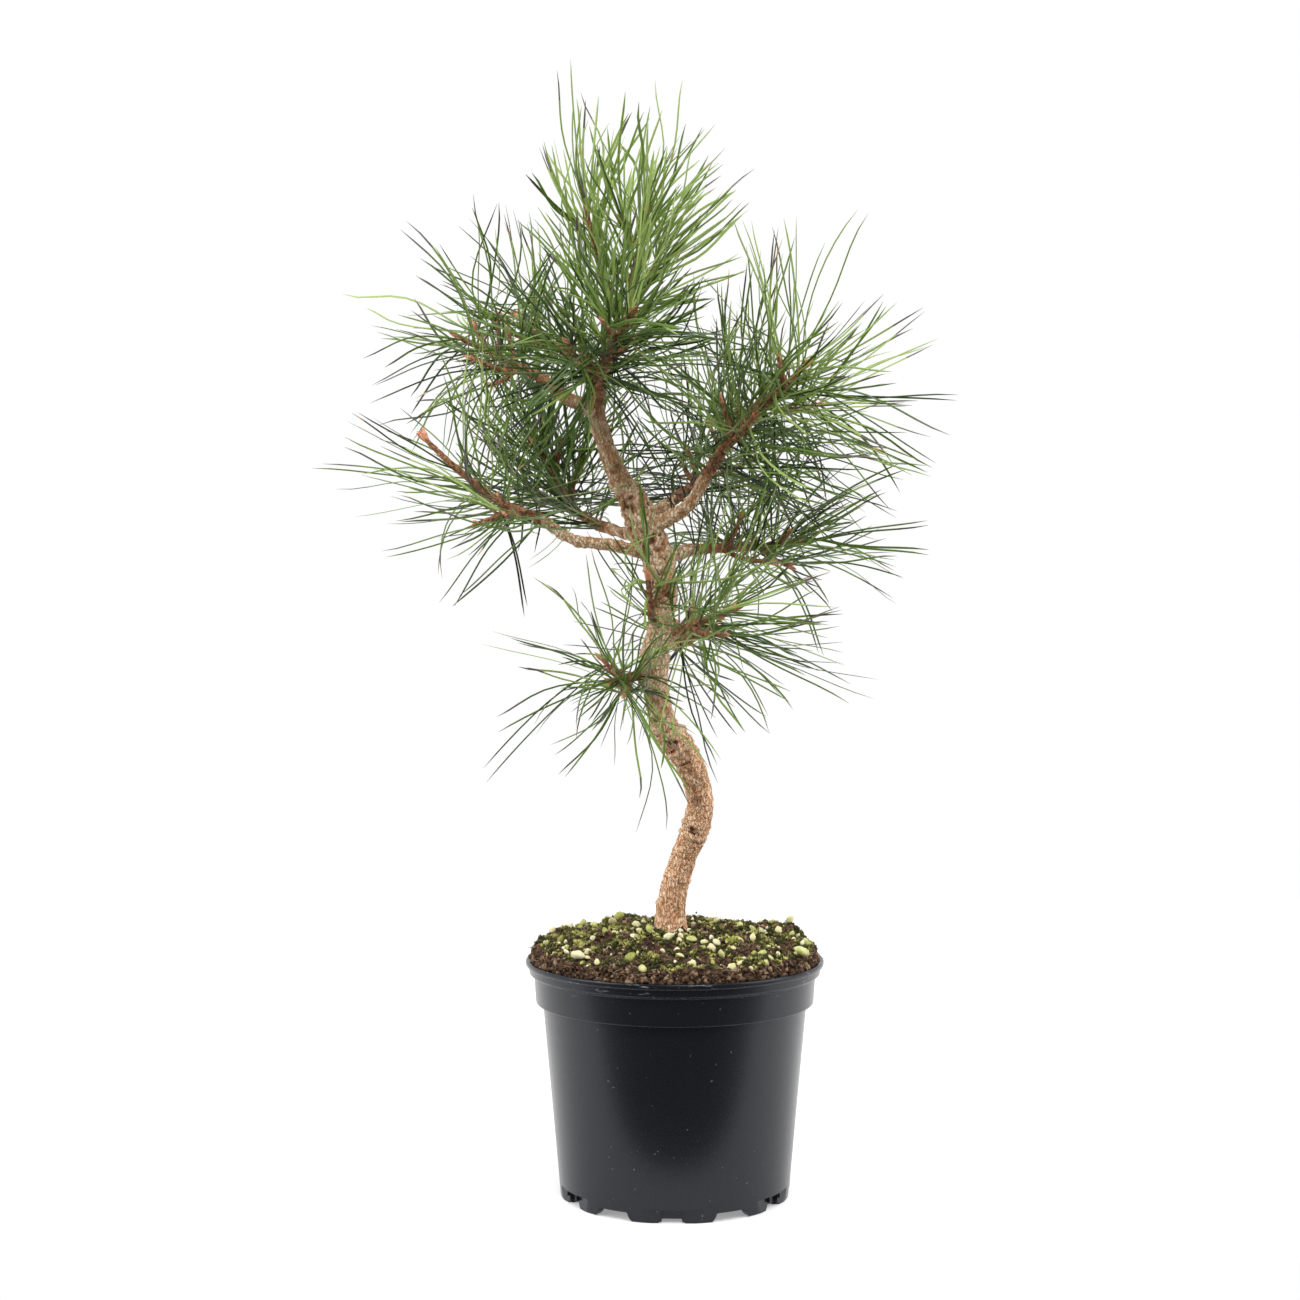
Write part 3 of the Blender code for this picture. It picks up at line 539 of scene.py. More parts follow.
def moss_shade(spot, chance):
    """Which of the three greens a bit of moss takes: bright ones stand together."""
    bright = noise.noise(Vector((spot.x, spot.y, 90.0)) / 9.0) + chance.uniform(-0.25, 0.25)
    return 0 if bright < 0.02 else 1 if bright < 0.24 else 2


def grow_moss():
    chance = random.Random(31)
    lumps = []
    spikes = []
    kinds = ([], [])
    while len(spikes) < MOSS_SPIKES:
        spot = spot_on_soil(chance, SOIL_RIM_RADIUS - 1.0)
        thick = cushion(spot)
        if thick < 0.3 * chance.random() + 0.05:
            continue
        spot += Vector((0, 0, CUSHION_HEIGHT * thick * (0.4 + 0.6 * noise.noise(spot / 2.5))))
        height = MOSS_HEIGHT * chance.uniform(0.5, 1.1)
        lean = Matrix.Rotation(chance.uniform(0, math.tau), 4, "Z") @ Matrix.Rotation(
            chance.uniform(0, 1.0), 4, "X")
        size = Matrix.Diagonal((0.34, 0.34, height, 1.0))
        spikes.append(Matrix.Translation(spot - Vector((0, 0, 0.4))) @ lean @ size)
        kinds[0].append(moss_shade(spot, chance))
        if len(lumps) < MOSS_LUMPS:
            width = chance.uniform(0.5, 1.3)
            lumps.append(chance_matrix(spot, (width, width, 0.8 * width), chance))
            kinds[1].append(moss_shade(spot, chance))
    greens = [
        plain_rough("moss_dark", (0.026, 0.028, 0.007), (0.062, 0.064, 0.015), 300.0),
        plain_rough("moss_green", (0.095, 0.105, 0.020), (0.175, 0.175, 0.040), 300.0),
        plain_rough("moss_bright", (0.31, 0.31, 0.060), (0.52, 0.50, 0.17), 300.0)]
    joined_copies("moss", spike_shape(), spikes, greens, kinds[0], "peat", "soil")
    joined_copies("moss_cushions", lump_shape(1), lumps, greens, kinds[1], "peat", "soil", uneven=0.35)


def grain_shape():
    """A bud-shaped grain along Z, pointed at its top and creased lengthwise."""
    mesh = bmesh.new()
    bmesh.ops.create_uvsphere(mesh, u_segments=14, v_segments=9, radius=1.0)
    for corner in mesh.verts:
        turn = math.atan2(corner.co.y, corner.co.x)
        crease = 1.0 + 0.09 * math.cos(3 * turn + 0.8) + 0.05 * math.cos(7 * turn)
        slim = crease * (1.0 - 0.32 * max(0.0, corner.co.z) ** 2)
        corner.co = Vector((corner.co.x * slim, corner.co.y * slim, corner.co.z * 1.15))
    bmesh.ops.triangulate(mesh, faces=mesh.faces)
    points = np.array([corner.co[:] for corner in mesh.verts])
    faces = np.array([[corner.index for corner in face.verts] for face in mesh.faces])
    mesh.free()
    return points, faces


def lay_grains():
    chance = random.Random(41)
    places = []
    spots = [(Vector((x, y, soil_height(x, y))), width) for x, y, width in NAMED_GRAINS]
    spots += [(spot_on_soil(chance), 1.6 + 4.4 * chance.random() ** 2.2) for _ in range(GRAIN_COUNT)]
    for spot, width in spots:
        turned = Matrix.Rotation(chance.uniform(0, math.tau), 4, "Z")
        turned @= Matrix.Rotation(chance.uniform(0.2, 1.5), 4, "X")
        half = width / 2
        sizes = (half * chance.uniform(0.65, 1.0), half * chance.uniform(0.5, 0.9), half, 1.0)
        raised = CUSHION_HEIGHT * 0.6 * cushion(spot) + 0.22 * width
        places.append(Matrix.Translation(spot + Vector((0, 0, raised))) @ turned @ Matrix.Diagonal(sizes))
    kinds = [chance.choice((0, 0, 1, 1, 2, 3)) for _ in places]
    stuffs = [plain_rough(f"grain_{number}", colour, other, 190.0, 0.6)
              for number, (colour, other) in enumerate(GRAIN_COLOURS)]
    joined_copies("pale_grains", grain_shape(), places, stuffs, kinds, "peat", "soil", uneven=0.09)


grow_moss()
lay_grains()

# Roots and straws: fine pale roots and dry bits of straw lie in the peat and stand out at its edge.
# Each is a thin crooked stalk, pushed into the surface at one end.
ROOT_COUNT = 420


def unit_rows(rows):
    return rows / np.linalg.norm(rows, axis=-1, keepdims=True)


def tube_mesh(name, lines, widths, section, first_side, kinds=None):
    """Many thin tubes as one mesh: centre lines, half widths, a section of a few corners, and closed ends."""
    count, stations, _ = lines.shape
    sides = len(section)
    forward = unit_rows(np.gradient(lines, axis=1))
    side = np.repeat(first_side[:, None], stations, axis=1)
    side = unit_rows(side - forward * (side * forward).sum(axis=2, keepdims=True))
    up = np.cross(forward, side)
    flat = np.array(section)
    points = (lines[:, :, None]
              + widths[:, :, None, None] * (flat[None, None, :, 0, None] * side[:, :, None]
                                            + flat[None, None, :, 1, None] * up[:, :, None]))
    data = bpy.data.meshes.new(name)
    data.vertices.add(count * stations * sides)
    data.vertices.foreach_set("co", (points * MM).astype(np.float32).ravel())
    number = np.arange(count * stations * sides).reshape(count, stations, sides)
    after = np.roll(number, -1, axis=2)
    walls = np.stack([number[:, :-1], after[:, :-1], after[:, 1:], number[:, 1:]], axis=-1)
    starts = number[:, 0, ::-1]
    ends = number[:, -1]
    loops = np.concatenate([walls.ravel(), starts.ravel(), ends.ravel()])
    wall_count = walls.size // 4
    totals = np.concatenate([np.full(wall_count, 4), np.full(2 * count, sides)])
    data.loops.add(len(loops))
    data.loops.foreach_set("vertex_index", loops.astype(np.int32))
    data.polygons.add(len(totals))
    data.polygons.foreach_set("loop_start", np.concatenate([[0], np.cumsum(totals)[:-1]]).astype(np.int32))
    if kinds is not None:
        by_wall = np.repeat(kinds.astype(np.int32)[:, :, None], sides, axis=2).ravel()
        of_each = np.concatenate([by_wall, kinds[:, 0].astype(np.int32), kinds[:, -1].astype(np.int32)])
        data.polygons.foreach_set("material_index", of_each)
    data.update()
    return data


def lay_roots():
    spread = np.random.default_rng(51)
    chance = random.Random(52)
    lines = []
    for number in range(ROOT_COUNT):
        if number % 2:
            turn = chance.uniform(0, math.tau)
            height = LIP_TOP + chance.uniform(0.5, 7.5)
            radius = inner_radius(height) - 0.6
            spot = Vector((radius * math.cos(turn), radius * math.sin(turn), height))
        else:
            spot = spot_on_soil(chance)
        way = Vector((chance.uniform(-1, 1), chance.uniform(-1, 1), chance.uniform(-0.25, 0.5))).normalized()
        length = 3.0 + 9.0 * chance.random() ** 2
        steps = np.arange(6)[:, None] / 5
        line = np.array(spot) + length * steps * np.array(way)
        line += np.cumsum(spread.normal(0, 0.09 * length / 2, (6, 3)), axis=0) * steps
        lines.append(line)
    lines = np.array(lines)
    widths = np.repeat(spread.uniform(0.10, 0.28, (len(lines), 1)), 6, axis=1) * np.linspace(1, 0.5, 6)
    section = [(math.cos(turn), math.sin(turn)) for turn in (0.0, math.tau / 3, 2 * math.tau / 3)]
    first_side = unit_rows(spread.normal(0, 1, (len(lines), 3)))
    kinds = np.repeat(spread.integers(0, 2, (len(lines), 1)), 5, axis=1)
    data = tube_mesh("fine_roots", lines, widths, section, first_side, kinds)
    stuffs = [plain_rough("root_pale", (0.52, 0.42, 0.28), (0.36, 0.26, 0.16), 200.0),
              plain_rough("root_brown", (0.20, 0.12, 0.07), (0.30, 0.20, 0.12), 200.0)]
    finished_data(data, "fine_roots", stuffs, "peat", "soil", sharp=0.0)


lay_roots()

# Trunk: one winding stem of young pine wood, bent as it grew. Its bark is warm tan below, split in
# fine upright flakes, and grey-beige above, with ring scars and the stubs of lost twigs.
TRUNK_SIDES = 144
TRUNK_STEP = 0.8
TRUNK = (
    (-2.0, 8.0, 164.0, 11.2), (-2.6, 7.5, 177.5, 9.5), (0.0, 6.5, 195.0, 8.7),
    (6.0, 5.0, 215.0, 8.3), (13.4, 2.0, 234.0, 9.0), (16.0, 0.0, 253.0, 8.2),
    (9.4, -3.0, 274.7, 9.0), (1.4, -4.5, 287.5, 9.6), (-7.4, -5.0, 301.0, 8.3),
    (-12.0, -4.0, 322.5, 7.9), (-12.5, -2.0, 345.5, 9.2), (-9.5, 0.0, 359.5, 7.8),
    (-7.0, 3.0, 385.0, 8.6), (-12.0, 4.0, 408.0, 10.0), (-19.5, 3.0, 425.0, 10.7),
    (-27.0, 1.5, 443.0, 9.0), (-36.0, 0.0, 457.0, 6.6), (-43.5, -1.5, 476.0, 5.5),
    (-50.5, -2.0, 500.0, 5.4), (-47.5, -1.0, 515.5, 4.6), (-40.5, 0.0, 533.0, 4.2),
    (-36.5, 0.0, 542.0, 3.9),
)
BARK_RINGS = (
    (201.0, 0.5, 1.4), (198.6, -0.5, 0.7), (215.0, -0.4, 0.8), (226.5, -0.8, 0.7), (228.6, 0.9, 1.0),
    (231.6, -0.9, 0.7), (236.0, 1.0, 1.4), (246.0, -0.4, 0.7), (262.0, -0.4, 2.4), (271.5, -0.6, 0.7),
    (273.6, 0.6, 0.9), (277.4, -0.8, 0.6), (279.2, 1.0, 0.9), (282.4, -0.9, 0.6), (284.2, 0.8, 0.8),
    (286.4, -0.7, 0.5), (293.0, 1.4, 1.7), (296.4, -0.9, 0.7), (298.6, 0.9, 1.1), (304.0, -0.5, 0.7),
    (312.0, 0.6, 1.2), (325.0, -0.5, 0.8), (344.0, 0.8, 1.6), (348.0, -0.5, 0.8), (366.0, 0.8, 1.4),
    (383.0, -0.7, 1.0), (400.0, 0.8, 1.8), (433.0, -0.7, 1.2), (466.0, 0.7, 1.4), (488.0, 0.7, 1.2),
)
BARK_MARKS = (
    (11.0, -6.5, 233.5, -1.8, 1.7), (14.0, -6.5, 235.0, -1.2, 1.4), (19.5, 0.0, 230.0, 1.7, 2.2),
    (18.4, -2.0, 223.8, -1.5, 1.6), (6.8, -5.0, 298.0, 1.6, 2.2), (9.0, -5.0, 291.5, 1.9, 1.8),
    (0.6, -4.0, 308.5, 1.6, 1.7), (-10.8, 7.0, 185.0, 1.6, 2.2), (-6.5, -12.4, 289.6, -1.9, 1.5),
    (-3.0, -14.0, 289.2, -2.2, 1.6), (0.6, -14.3, 289.4, -1.7, 1.4), (-20.0, -6.0, 340.0, 1.2, 3.6),
    (-19.8, -5.0, 333.0, 1.0, 2.0), (-6.0, -9.0, 402.0, 1.2, 4.0), (-30.0, -8.0, 438.0, -1.2, 3.4),
    (-14.0, -6.5, 417.0, -1.6, 2.2), (-2.0, -6.0, 412.0, -1.4, 1.8), (-24.0, -8.0, 412.0, 1.0, 2.6),
    (-43.0, -6.5, 470.0, -0.8, 2.0), (-22.0, -9.0, 428.0, 1.3, 3.0), (-9.0, -8.0, 424.0, 1.2, 2.6),
)
# Dark patches on the bark: real stains, and painted shade where they lie in the notch at 289 mm and over the
# hollow bark marks.
BARK_STAINS_AND_SHADE = (
    (12.5, -7.0, 264.0, 6.0), (7.0, -8.0, 274.0, 4.5), (13.0, -7.0, 252.0, 3.5), (-30.0, -8.0, 438.0, 6.0),
    (-49.0, -7.0, 503.0, 5.0), (-10.0, -8.0, 384.0, 5.0), (-3.0, -12.0, 289.3, 3.2), (11.0, -6.5, 233.0, 2.2),
    (-38.0, -5.0, 462.0, 4.0), (18.0, -4.0, 223.5, 2.0), (-13.0, -7.0, 417.0, 3.0), (-19.0, -8.0, 407.0, 4.0),
    (-5.0, -8.0, 396.0, 3.5),
)
RUGGED = ((350.0, 385.0, 440.0, 475.0), (1.0, 2.0, 2.0, 1.3))
RELIEF = 0.55


def smooth_path(stations, step):
    """Stations about one step apart on a smooth curve through the given ones; a radius goes along."""
    given = np.array(stations, float)
    given = np.vstack([2 * given[0] - given[1], given, 2 * given[-1] - given[-2]])
    path = []
    for before, start, end, after in zip(given, given[1:], given[2:], given[3:]):
        count = max(1, round(np.linalg.norm((end - start)[:3]) / step))
        for number in range(count):
            t = number / count
            path.append(0.5 * (2 * start + (end - before) * t
                               + (2 * before - 5 * start + 4 * end - after) * t ** 2
                               + (3 * start - before - 3 * end + after) * t ** 3))
    path.append(given[-2])
    return np.array(path)


def bark_height(place, level, relief, bands):
    """How far the bark stands out at a place: plates split by cracks, wrinkles, swellings, rings and scars."""
    upright = abs(noise.noise(Vector((place.x, place.y, 0.30 * place.z)) / 1.9))
    wrinkle = abs(noise.noise(Vector((0.35 * place.x, 0.35 * place.y, place.z)) / 2.1))
    fine = noise.noise(place / 0.9)
    swelling = noise.noise(place / 6.5)
    chunk = noise.noise(place / 3.2)
    rugged = float(np.interp(level, *RUGGED))
    height = relief * (1.1 * min(1.0, 7.0 * upright) + 0.6 * min(1.0, 7.0 * wrinkle) + 0.35 * rugged * fine
                       + 0.9 * rugged * swelling + (3.0 * rugged - 2.6) * chunk - 1.4)
    for middle, stands, spread in bands:
        far = (level - middle) / spread
        if abs(far) < 3:
            height += stands * math.exp(-far ** 2) * (0.7 + 0.9 * noise.noise(place / 5.0))
    for x, y, z, stands, spread in BARK_MARKS:
        far = (place - Vector((x, y, z))).length_squared
        if far < 9 * spread ** 2:
            height += stands * math.exp(-far / spread ** 2)
    return height


def bark_rings(path, sides, relief, start=None, end=None, bands=()):
    """A ring of points round each station, with the bark's relief on it, and that relief by itself."""
    middles = [Vector(station[:3]) for station in path]
    side = Vector((0.0, -1.0, 0.0))
    rings = []
    reliefs = []
    for number, middle in enumerate(middles):
        ahead = middles[min(number + 1, len(middles) - 1)]
        behind = middles[max(number - 1, 0)]
        forward = (ahead - behind).normalized()
        if number == 0 and start is not None:
            forward = Vector(start).normalized()
        if number == len(middles) - 1 and end is not None:
            forward = Vector(end).normalized()
        side = (side - side.dot(forward) * forward).normalized()
        across = forward.cross(side)
        radius = float(path[number][3])
        ring = []
        depths = []
        for turn in (math.tau * place / sides for place in range(sides)):
            out = math.cos(turn) * side + math.sin(turn) * across
            skin = middle + radius * out
            depths.append(bark_height(skin, middle.z, relief, bands))
            ring.append(skin + out * depths[-1])
        rings.append(ring)
        reliefs.append(depths)
    return rings, reliefs


def build_plates():
    """Group: bark plates of its own scale and stretch; a tone for each plate and a mask of the cracks between."""
    tree, start, end = new_group("plates", {"Flat scale": 500.0, "Tall scale": 250.0},
                                 {"Tone": "Float", "Crack": "Float"})
    place = stretched_place(tree, start.outputs["Flat scale"], start.outputs["Tall scale"])
    cloud = add_node(tree, "TexNoise", {"Vector": place, "Scale": 1.7, "Detail": 2.0})
    ragged = add_node(tree, "VectorMath", {0: cloud.outputs["Color"], 1: (0.9, 0.9, 0.9), 2: place},
                      operation="MULTIPLY_ADD")
    plates = add_node(tree, "TexVoronoi", {"Vector": ragged.outputs[0], "Scale": 1.0})
    edges = add_node(tree, "TexVoronoi", {"Vector": ragged.outputs[0], "Scale": 1.0},
                     feature="DISTANCE_TO_EDGE")
    tone = add_node(tree, "SeparateXYZ", {0: plates.outputs["Color"]})
    crack = add_node(tree, "MapRange", {"Value": edges.outputs["Distance"], "From Min": 0.11, "From Max": 0.03})
    tree.links.new(tone.outputs["X"], end.inputs["Tone"])
    tree.links.new(crack.outputs[0], end.inputs["Crack"])
    return tree


def stain_and_shade_mask(tree, place, ragged):
    """Where the bark is darkened near any of the named places, with a ragged edge: real stains, and painted shade
    in the notch and over the hollow marks.
    """
    mask = None
    for x, y, z, spread in BARK_STAINS_AND_SHADE:
        far = add_node(tree, "VectorMath", {0: place, 1: Vector((x, y, z)) * MM}, operation="DISTANCE")
        frayed = add_node(tree, "Math", {0: ragged, 1: -4.0 * spread * MM, 2: far.outputs["Value"]},
                          operation="MULTIPLY_ADD")
        near = add_node(tree, "MapRange", {"Value": frayed.outputs[0], "From Min": -0.85 * spread * MM,
                                           "From Max": -1.25 * spread * MM, "To Max": 0.75})
        if mask is None:
            mask = near.outputs[0]
        else:
            mask = add_node(tree, "Math", {0: mask, 1: near.outputs[0]}, operation="MAXIMUM").outputs[0]
    return mask


def pine_bark():
    """Bark that turns with height from tan to grey-beige and to brown, in plates with orange-brown cracks; painted
    shade darkens its deepest hollows, and its ridges are paler, partly by a painted highlight.
    """
    made, tree, surface = new_material("pine_bark", (0.36, 0.24, 0.15), 0.85, Specular_IOR_Level=0.3)
    place = add_node(tree, "TexCoord").outputs["Object"]
    height = add_node(tree, "SeparateXYZ", {0: place})
    drift = mottle(tree, 22.0, 14.0, 0.2, 0.8, 2.0)
    blotched = add_node(tree, "Math", {0: drift.outputs["Height"], 1: 0.10, 2: height.outputs["Z"]},
                        operation="MULTIPLY_ADD")
    older = add_node(tree, "MapRange", {"Value": blotched.outputs[0], "From Min": 0.33, "From Max": 0.40})
    younger = add_node(tree, "MapRange", {"Value": blotched.outputs[0], "From Min": 0.49, "From Max": 0.55})
    plates = add_node(tree, "Group", {"Flat scale": 520.0, "Tall scale": 240.0}, node_tree=build_plates())
    flecks = mottle(tree, 420.0, 150.0, 0.36, 0.64, 6.0).outputs["Mask"]
    mixture = add_node(tree, "Math", {0: flecks, 1: plates.outputs["Tone"]}, operation="ADD")
    tone = add_node(tree, "MapRange", {"Value": mixture.outputs[0], "From Min": 0.35, "From Max": 1.65}).outputs[0]
    tan = mixed(tree, tone, (0.74, 0.40, 0.225), (1.00, 0.74, 0.49))
    grey = mixed(tree, tone, (0.66, 0.45, 0.27), (1.00, 0.85, 0.62))
    brown = mixed(tree, tone, (0.22, 0.13, 0.07), (0.60, 0.45, 0.30))
    skin = mixed(tree, younger.outputs[0], mixed(tree, older.outputs[0], tan, grey), brown)
    chips = mottle(tree, 230.0, 130.0, 0.50, 0.58, 5.0).outputs["Mask"]
    flaking = add_node(tree, "MapRange", {"Value": blotched.outputs[0], "From Min": 0.415, "From Max": 0.44})
    chipped = add_node(tree, "Math", {0: flaking.outputs[0], 1: chips}, operation="MULTIPLY")
    orange = mixed(tree, chipped.outputs[0], skin, (0.50, 0.26, 0.125))
    blotches = mottle(tree, 75.0, 60.0, 0.58, 0.70, 6.0).outputs["Mask"]
    patched = mixed(tree, blotches, orange, (0.42, 0.225, 0.115))
    # Darker near the named places: real stains, and painted shade in the notch and hollows.
    stained_and_shaded = mixed(tree, stain_and_shade_mask(tree, place, mottle(tree, 260.0, 170.0, 0.2, 0.8, 5.0).outputs["Height"]),
                    patched, (0.19, 0.09, 0.045))
    split = mixed(tree, plates.outputs["Crack"], stained_and_shaded, (0.50, 0.225, 0.10))
    relief = add_node(tree, "Attribute", attribute_name="relief").outputs["Fac"]
    # Painted shade: darkest where the bark lies deepest, in its cracks and notches.
    cracks = add_node(tree, "MapRange", {"Value": relief, "From Min": -1.0, "From Max": -0.45})
    shaded_in_hollows = mixed(tree, cracks.outputs[0], (0.17, 0.075, 0.035), split)
    # Paler where the bark stands out most: partly its pale outer flakes, and partly a painted highlight on the
    # raised ridges and rings.
    pale_flakes_and_highlight = add_node(tree, "MapRange", {"Value": relief, "From Min": 0.25, "From Max": 0.95, "To Max": 0.55})
    tree.links.new(mixed(tree, pale_flakes_and_highlight.outputs[0], shaded_in_hollows, (0.92, 0.72, 0.51)), surface.inputs["Base Color"])
    rough = add_node(tree, "Math", {0: plates.outputs["Crack"], 1: -0.8}, operation="MULTIPLY_ADD")
    tree.links.new(mottle(tree, 900.0, 320.0).outputs["Height"], rough.inputs[2])
    bump(tree, surface, rough.outputs[0], 0.9, 0.8)
    return made


def make_trunk(bark):
    path = smooth_path(TRUNK, TRUNK_STEP)
    shape = bark_rings(path, TRUNK_SIDES, RELIEF, start=(0, 0, 1), bands=BARK_RINGS)
    finished(drawn_out(*shape), "bark_of_trunk", [bark], "bark", "trunk", sharp=0.0)
    return smooth_path(TRUNK, 8.0)


bark = pine_bark()
trunk_path = make_trunk(bark)

# Boughs: thinner limbs of the same wood, each a single taper that leaves the trunk in a swollen foot
# and ends where its needles begin. Each limb's line holds the bough, then its needled stem and forks.
BOUGH_SIDES = 56
BOUGH_STEP = 1.0
STEM_TIP_RADIUS = 1.5
TWIG_RADII = (1.9, 1.25)
TWIG_STEP = 9.0
TWIG_APART = (9.0, 17.0)
TWIG_LEAN = math.radians(60)
TWIG_LIFT = 0.2
TWIG_BEND = 0.07
TWIG_TRIES = 8
GOLDEN_TURN = math.radians(137.508)
GOLDEN_SHARE = 0.618
BARE_SHARE = {"top": 0.985, "upper_left": 0.70, "upper_right": 0.80, "front": 0.60, "middle_left": 0.60,
              "lower_left": 0.96, "lower_right": 0.70, "low_right": 0.65, "low_left": 0.70,
              "low_front": 0.60, "low_back": 0.65, "back": 0.60, "back_upper": 0.60}
UP = np.array((0.0, 0.0, 1.0))
LIMBS = {
    "top": (
        (), (3.9, 3.5), ((-31, -2, 556), (-25, -5, 590), (-18, -8, 622)),
        ((-58, 3, 634), (-6, 12, 608)), 2, 18, 0.93, 3),
    "upper_left": (
        ((-50, -2, 500), (-68, 5, 507), (-86, 10, 521)), (4.7, 3.4),
        ((-102, 15, 529), (-117, 20, 537), (-128, 24, 553)),
        ((-128, 4, 532), (-108, 38, 554)), 3, 22, 0.97, 11),
    "upper_right": (
        ((-20, 2, 425), (-8, -1, 429), (9, -4, 440), (26, -8, 468)), (4.8, 3.6),
        ((46, -12, 494), (58, -14, 505), (68, -20, 513), (80, -26, 524)),
        ((48, -36, 492), (70, 10, 516), (90, -8, 502)), 3, 20, 0.98, 5),
    "front": (
        ((-48.5, -2, 509), (-48, -16, 514)), (4.0, 3.2),
        ((-46, -32, 522), (-37, -52, 538), (-27, -66, 551)),
        ((-66, -58, 535),), 3, 20, 0.90, 4),
    "middle_left": (
        ((-17, 3, 418), (-43, 20, 425), (-58, 31, 432)), (4.0, 3.0),
        ((-68, 40, 441), (-78, 52, 458), (-86, 60, 482)),
        ((-98, 66, 456), (-62, 54, 474)), 3, 22, 0.94, 8),
    "lower_left": (
        ((-11, 4, 406), (-35, -9, 413), (-64, -18, 417), (-86, -22, 431)), (3.9, 3.2),
        ((-106, -25, 438), (-135, -30, 460), (-154, -34, 478)),
        ((-104, -48, 432), (-112, 0, 444)), 2, 20, 0.94, 2),
    "lower_right": (
        ((-11, 4, 404), (6, 12, 410), (23, 20, 412)), (4.5, 3.3),
        ((45, 32, 413), (62, 38, 414), (80, 38, 416)),
        ((62, 12, 403), (54, 62, 418)), 3, 22, 0.98, 9),
    "low_right": (
        ((-10, -1, 353), (-2, -7, 357), (6, -12, 361)), (3.7, 2.9),
        ((14, -17, 365), (24, -21, 369), (35, -23, 373)),
        ((30, -38, 358),), 2, 16, 1.0, 6),
    "low_left": (
        ((-12.5, -3, 331), (-20, -4, 332), (-26, -5, 331)), (3.9, 2.8),
        ((-32, -6, 330), (-38, -8, 327)),
        ((-32, -26, 320), (-33, 14, 324)), 2, 18, 0.97, 7),
    "low_front": (
        ((-10, -1, 363), (-13, -11, 367), (-15, -17, 371)), (3.2, 2.4),
        ((-16, -26, 381), (-17, -38, 393)),
        ((-3, -32, 392),), 2, 15, 0.88, 10),
    "low_back": (
        ((-10, 1, 350), (-4, 16, 350), (4, 28, 351)), (3.7, 2.8),
        ((12, 38, 353), (20, 46, 358)),
        ((2, 52, 346),), 3, 20, 0.92, 12),
    "back": (
        ((-18, 3, 430), (-6, 30, 440), (10, 58, 452)), (4.5, 3.3),
        ((24, 80, 463), (34, 98, 478), (38, 112, 498)),
        ((6, 98, 472), (54, 94, 474)), 2, 22, 0.96, 13),
    "back_upper": (
        ((-47.5, -1, 516), (-56, 22, 526), (-68, 48, 538)), (4.0, 3.1),
        ((-78, 66, 547), (-92, 80, 556), (-104, 90, 568)),
        ((-70, 84, 554), (-108, 70, 556)), 2, 22, 0.94, 14),
}


def unit(way):
    return way / np.linalg.norm(way)


def limb_line(name, step):
    """A bough and the stem that goes on from it, as one smooth curve cut where the needles begin."""
    bough_line, (foot_radius, tip_radius), stem_line = LIMBS[name][:3]
    if bough_line:
        stations = np.array(bough_line + stem_line, float)
        split = len(bough_line) - 1
    else:
        stations = np.vstack([np.array(TRUNK[-2:])[:, :3], np.array(stem_line, float)])
        split = 1
    radii = np.concatenate([
        np.linspace(foot_radius, tip_radius, split + 1),
        np.linspace(tip_radius, STEM_TIP_RADIUS, len(stations) - split)[1:]])
    path = smooth_path(np.column_stack([stations, radii]), step)
    at = int(np.argmin(np.linalg.norm(path[:, :3] - stations[split], axis=1)))
    return path[:at + 1], path[at:]


def gaps(start, end, starts, ends):
    """The least distance between one straight piece and each of several others."""
    along = end - start
    others = ends - starts
    between = start - starts
    own = along @ along
    theirs = np.einsum("ij,ij->i", others, others)
    both = others @ along
    near = between @ along
    far = np.einsum("ij,ij->i", others, between)
    spread = np.maximum(own * theirs - both ** 2, 1e-9)
    here = np.clip((both * far - near * theirs) / spread, 0, 1)
    there = np.clip((both * here + far) / theirs, 0, 1)
    here = np.clip((both * there - near) / own, 0, 1)
    return np.linalg.norm(between + here[:, None] * along - there[:, None] * others, axis=1)


def clearance(start, end, pieces):
    """How far a straight piece stays from the surfaces of limbs or shoots, given as paths."""
    if not pieces:
        return math.inf
    starts = np.concatenate([path[:-1, :3] for path in pieces])
    ends = np.concatenate([path[1:, :3] for path in pieces])
    radii = np.concatenate([np.maximum(path[:-1, 3], path[1:, 3]) for path in pieces])
    return float((gaps(start, end, starts, ends) - radii).min())


def point_on(path, share):
    """The point and the direction of a path, at a share of its stations."""
    place = share * (len(path) - 1)
    number = min(int(place), len(path) - 2)
    start, end = path[number, :3], path[number + 1, :3]
    return start + (place - number) * (end - start), unit(end - start)


def sideways_of(forward, turn):
    """A direction square to the given one, at a turn round it."""
    side = unit(np.cross(forward, (0.31, 0.95, 0.05)))
    return math.cos(turn) * side + math.sin(turn) * np.cross(forward, side)


def twig_path(foot, tip):
    """A twig that leaves flat and bends up to its tip."""
    middle = (foot + tip) / 2 - TWIG_BEND * np.linalg.norm(tip - foot) * UP
    radii = (TWIG_RADII[0], sum(TWIG_RADII) / 2, TWIG_RADII[1])
    return smooth_path(np.column_stack([np.array([foot, middle, tip]), radii]), 2 * TWIG_STEP)


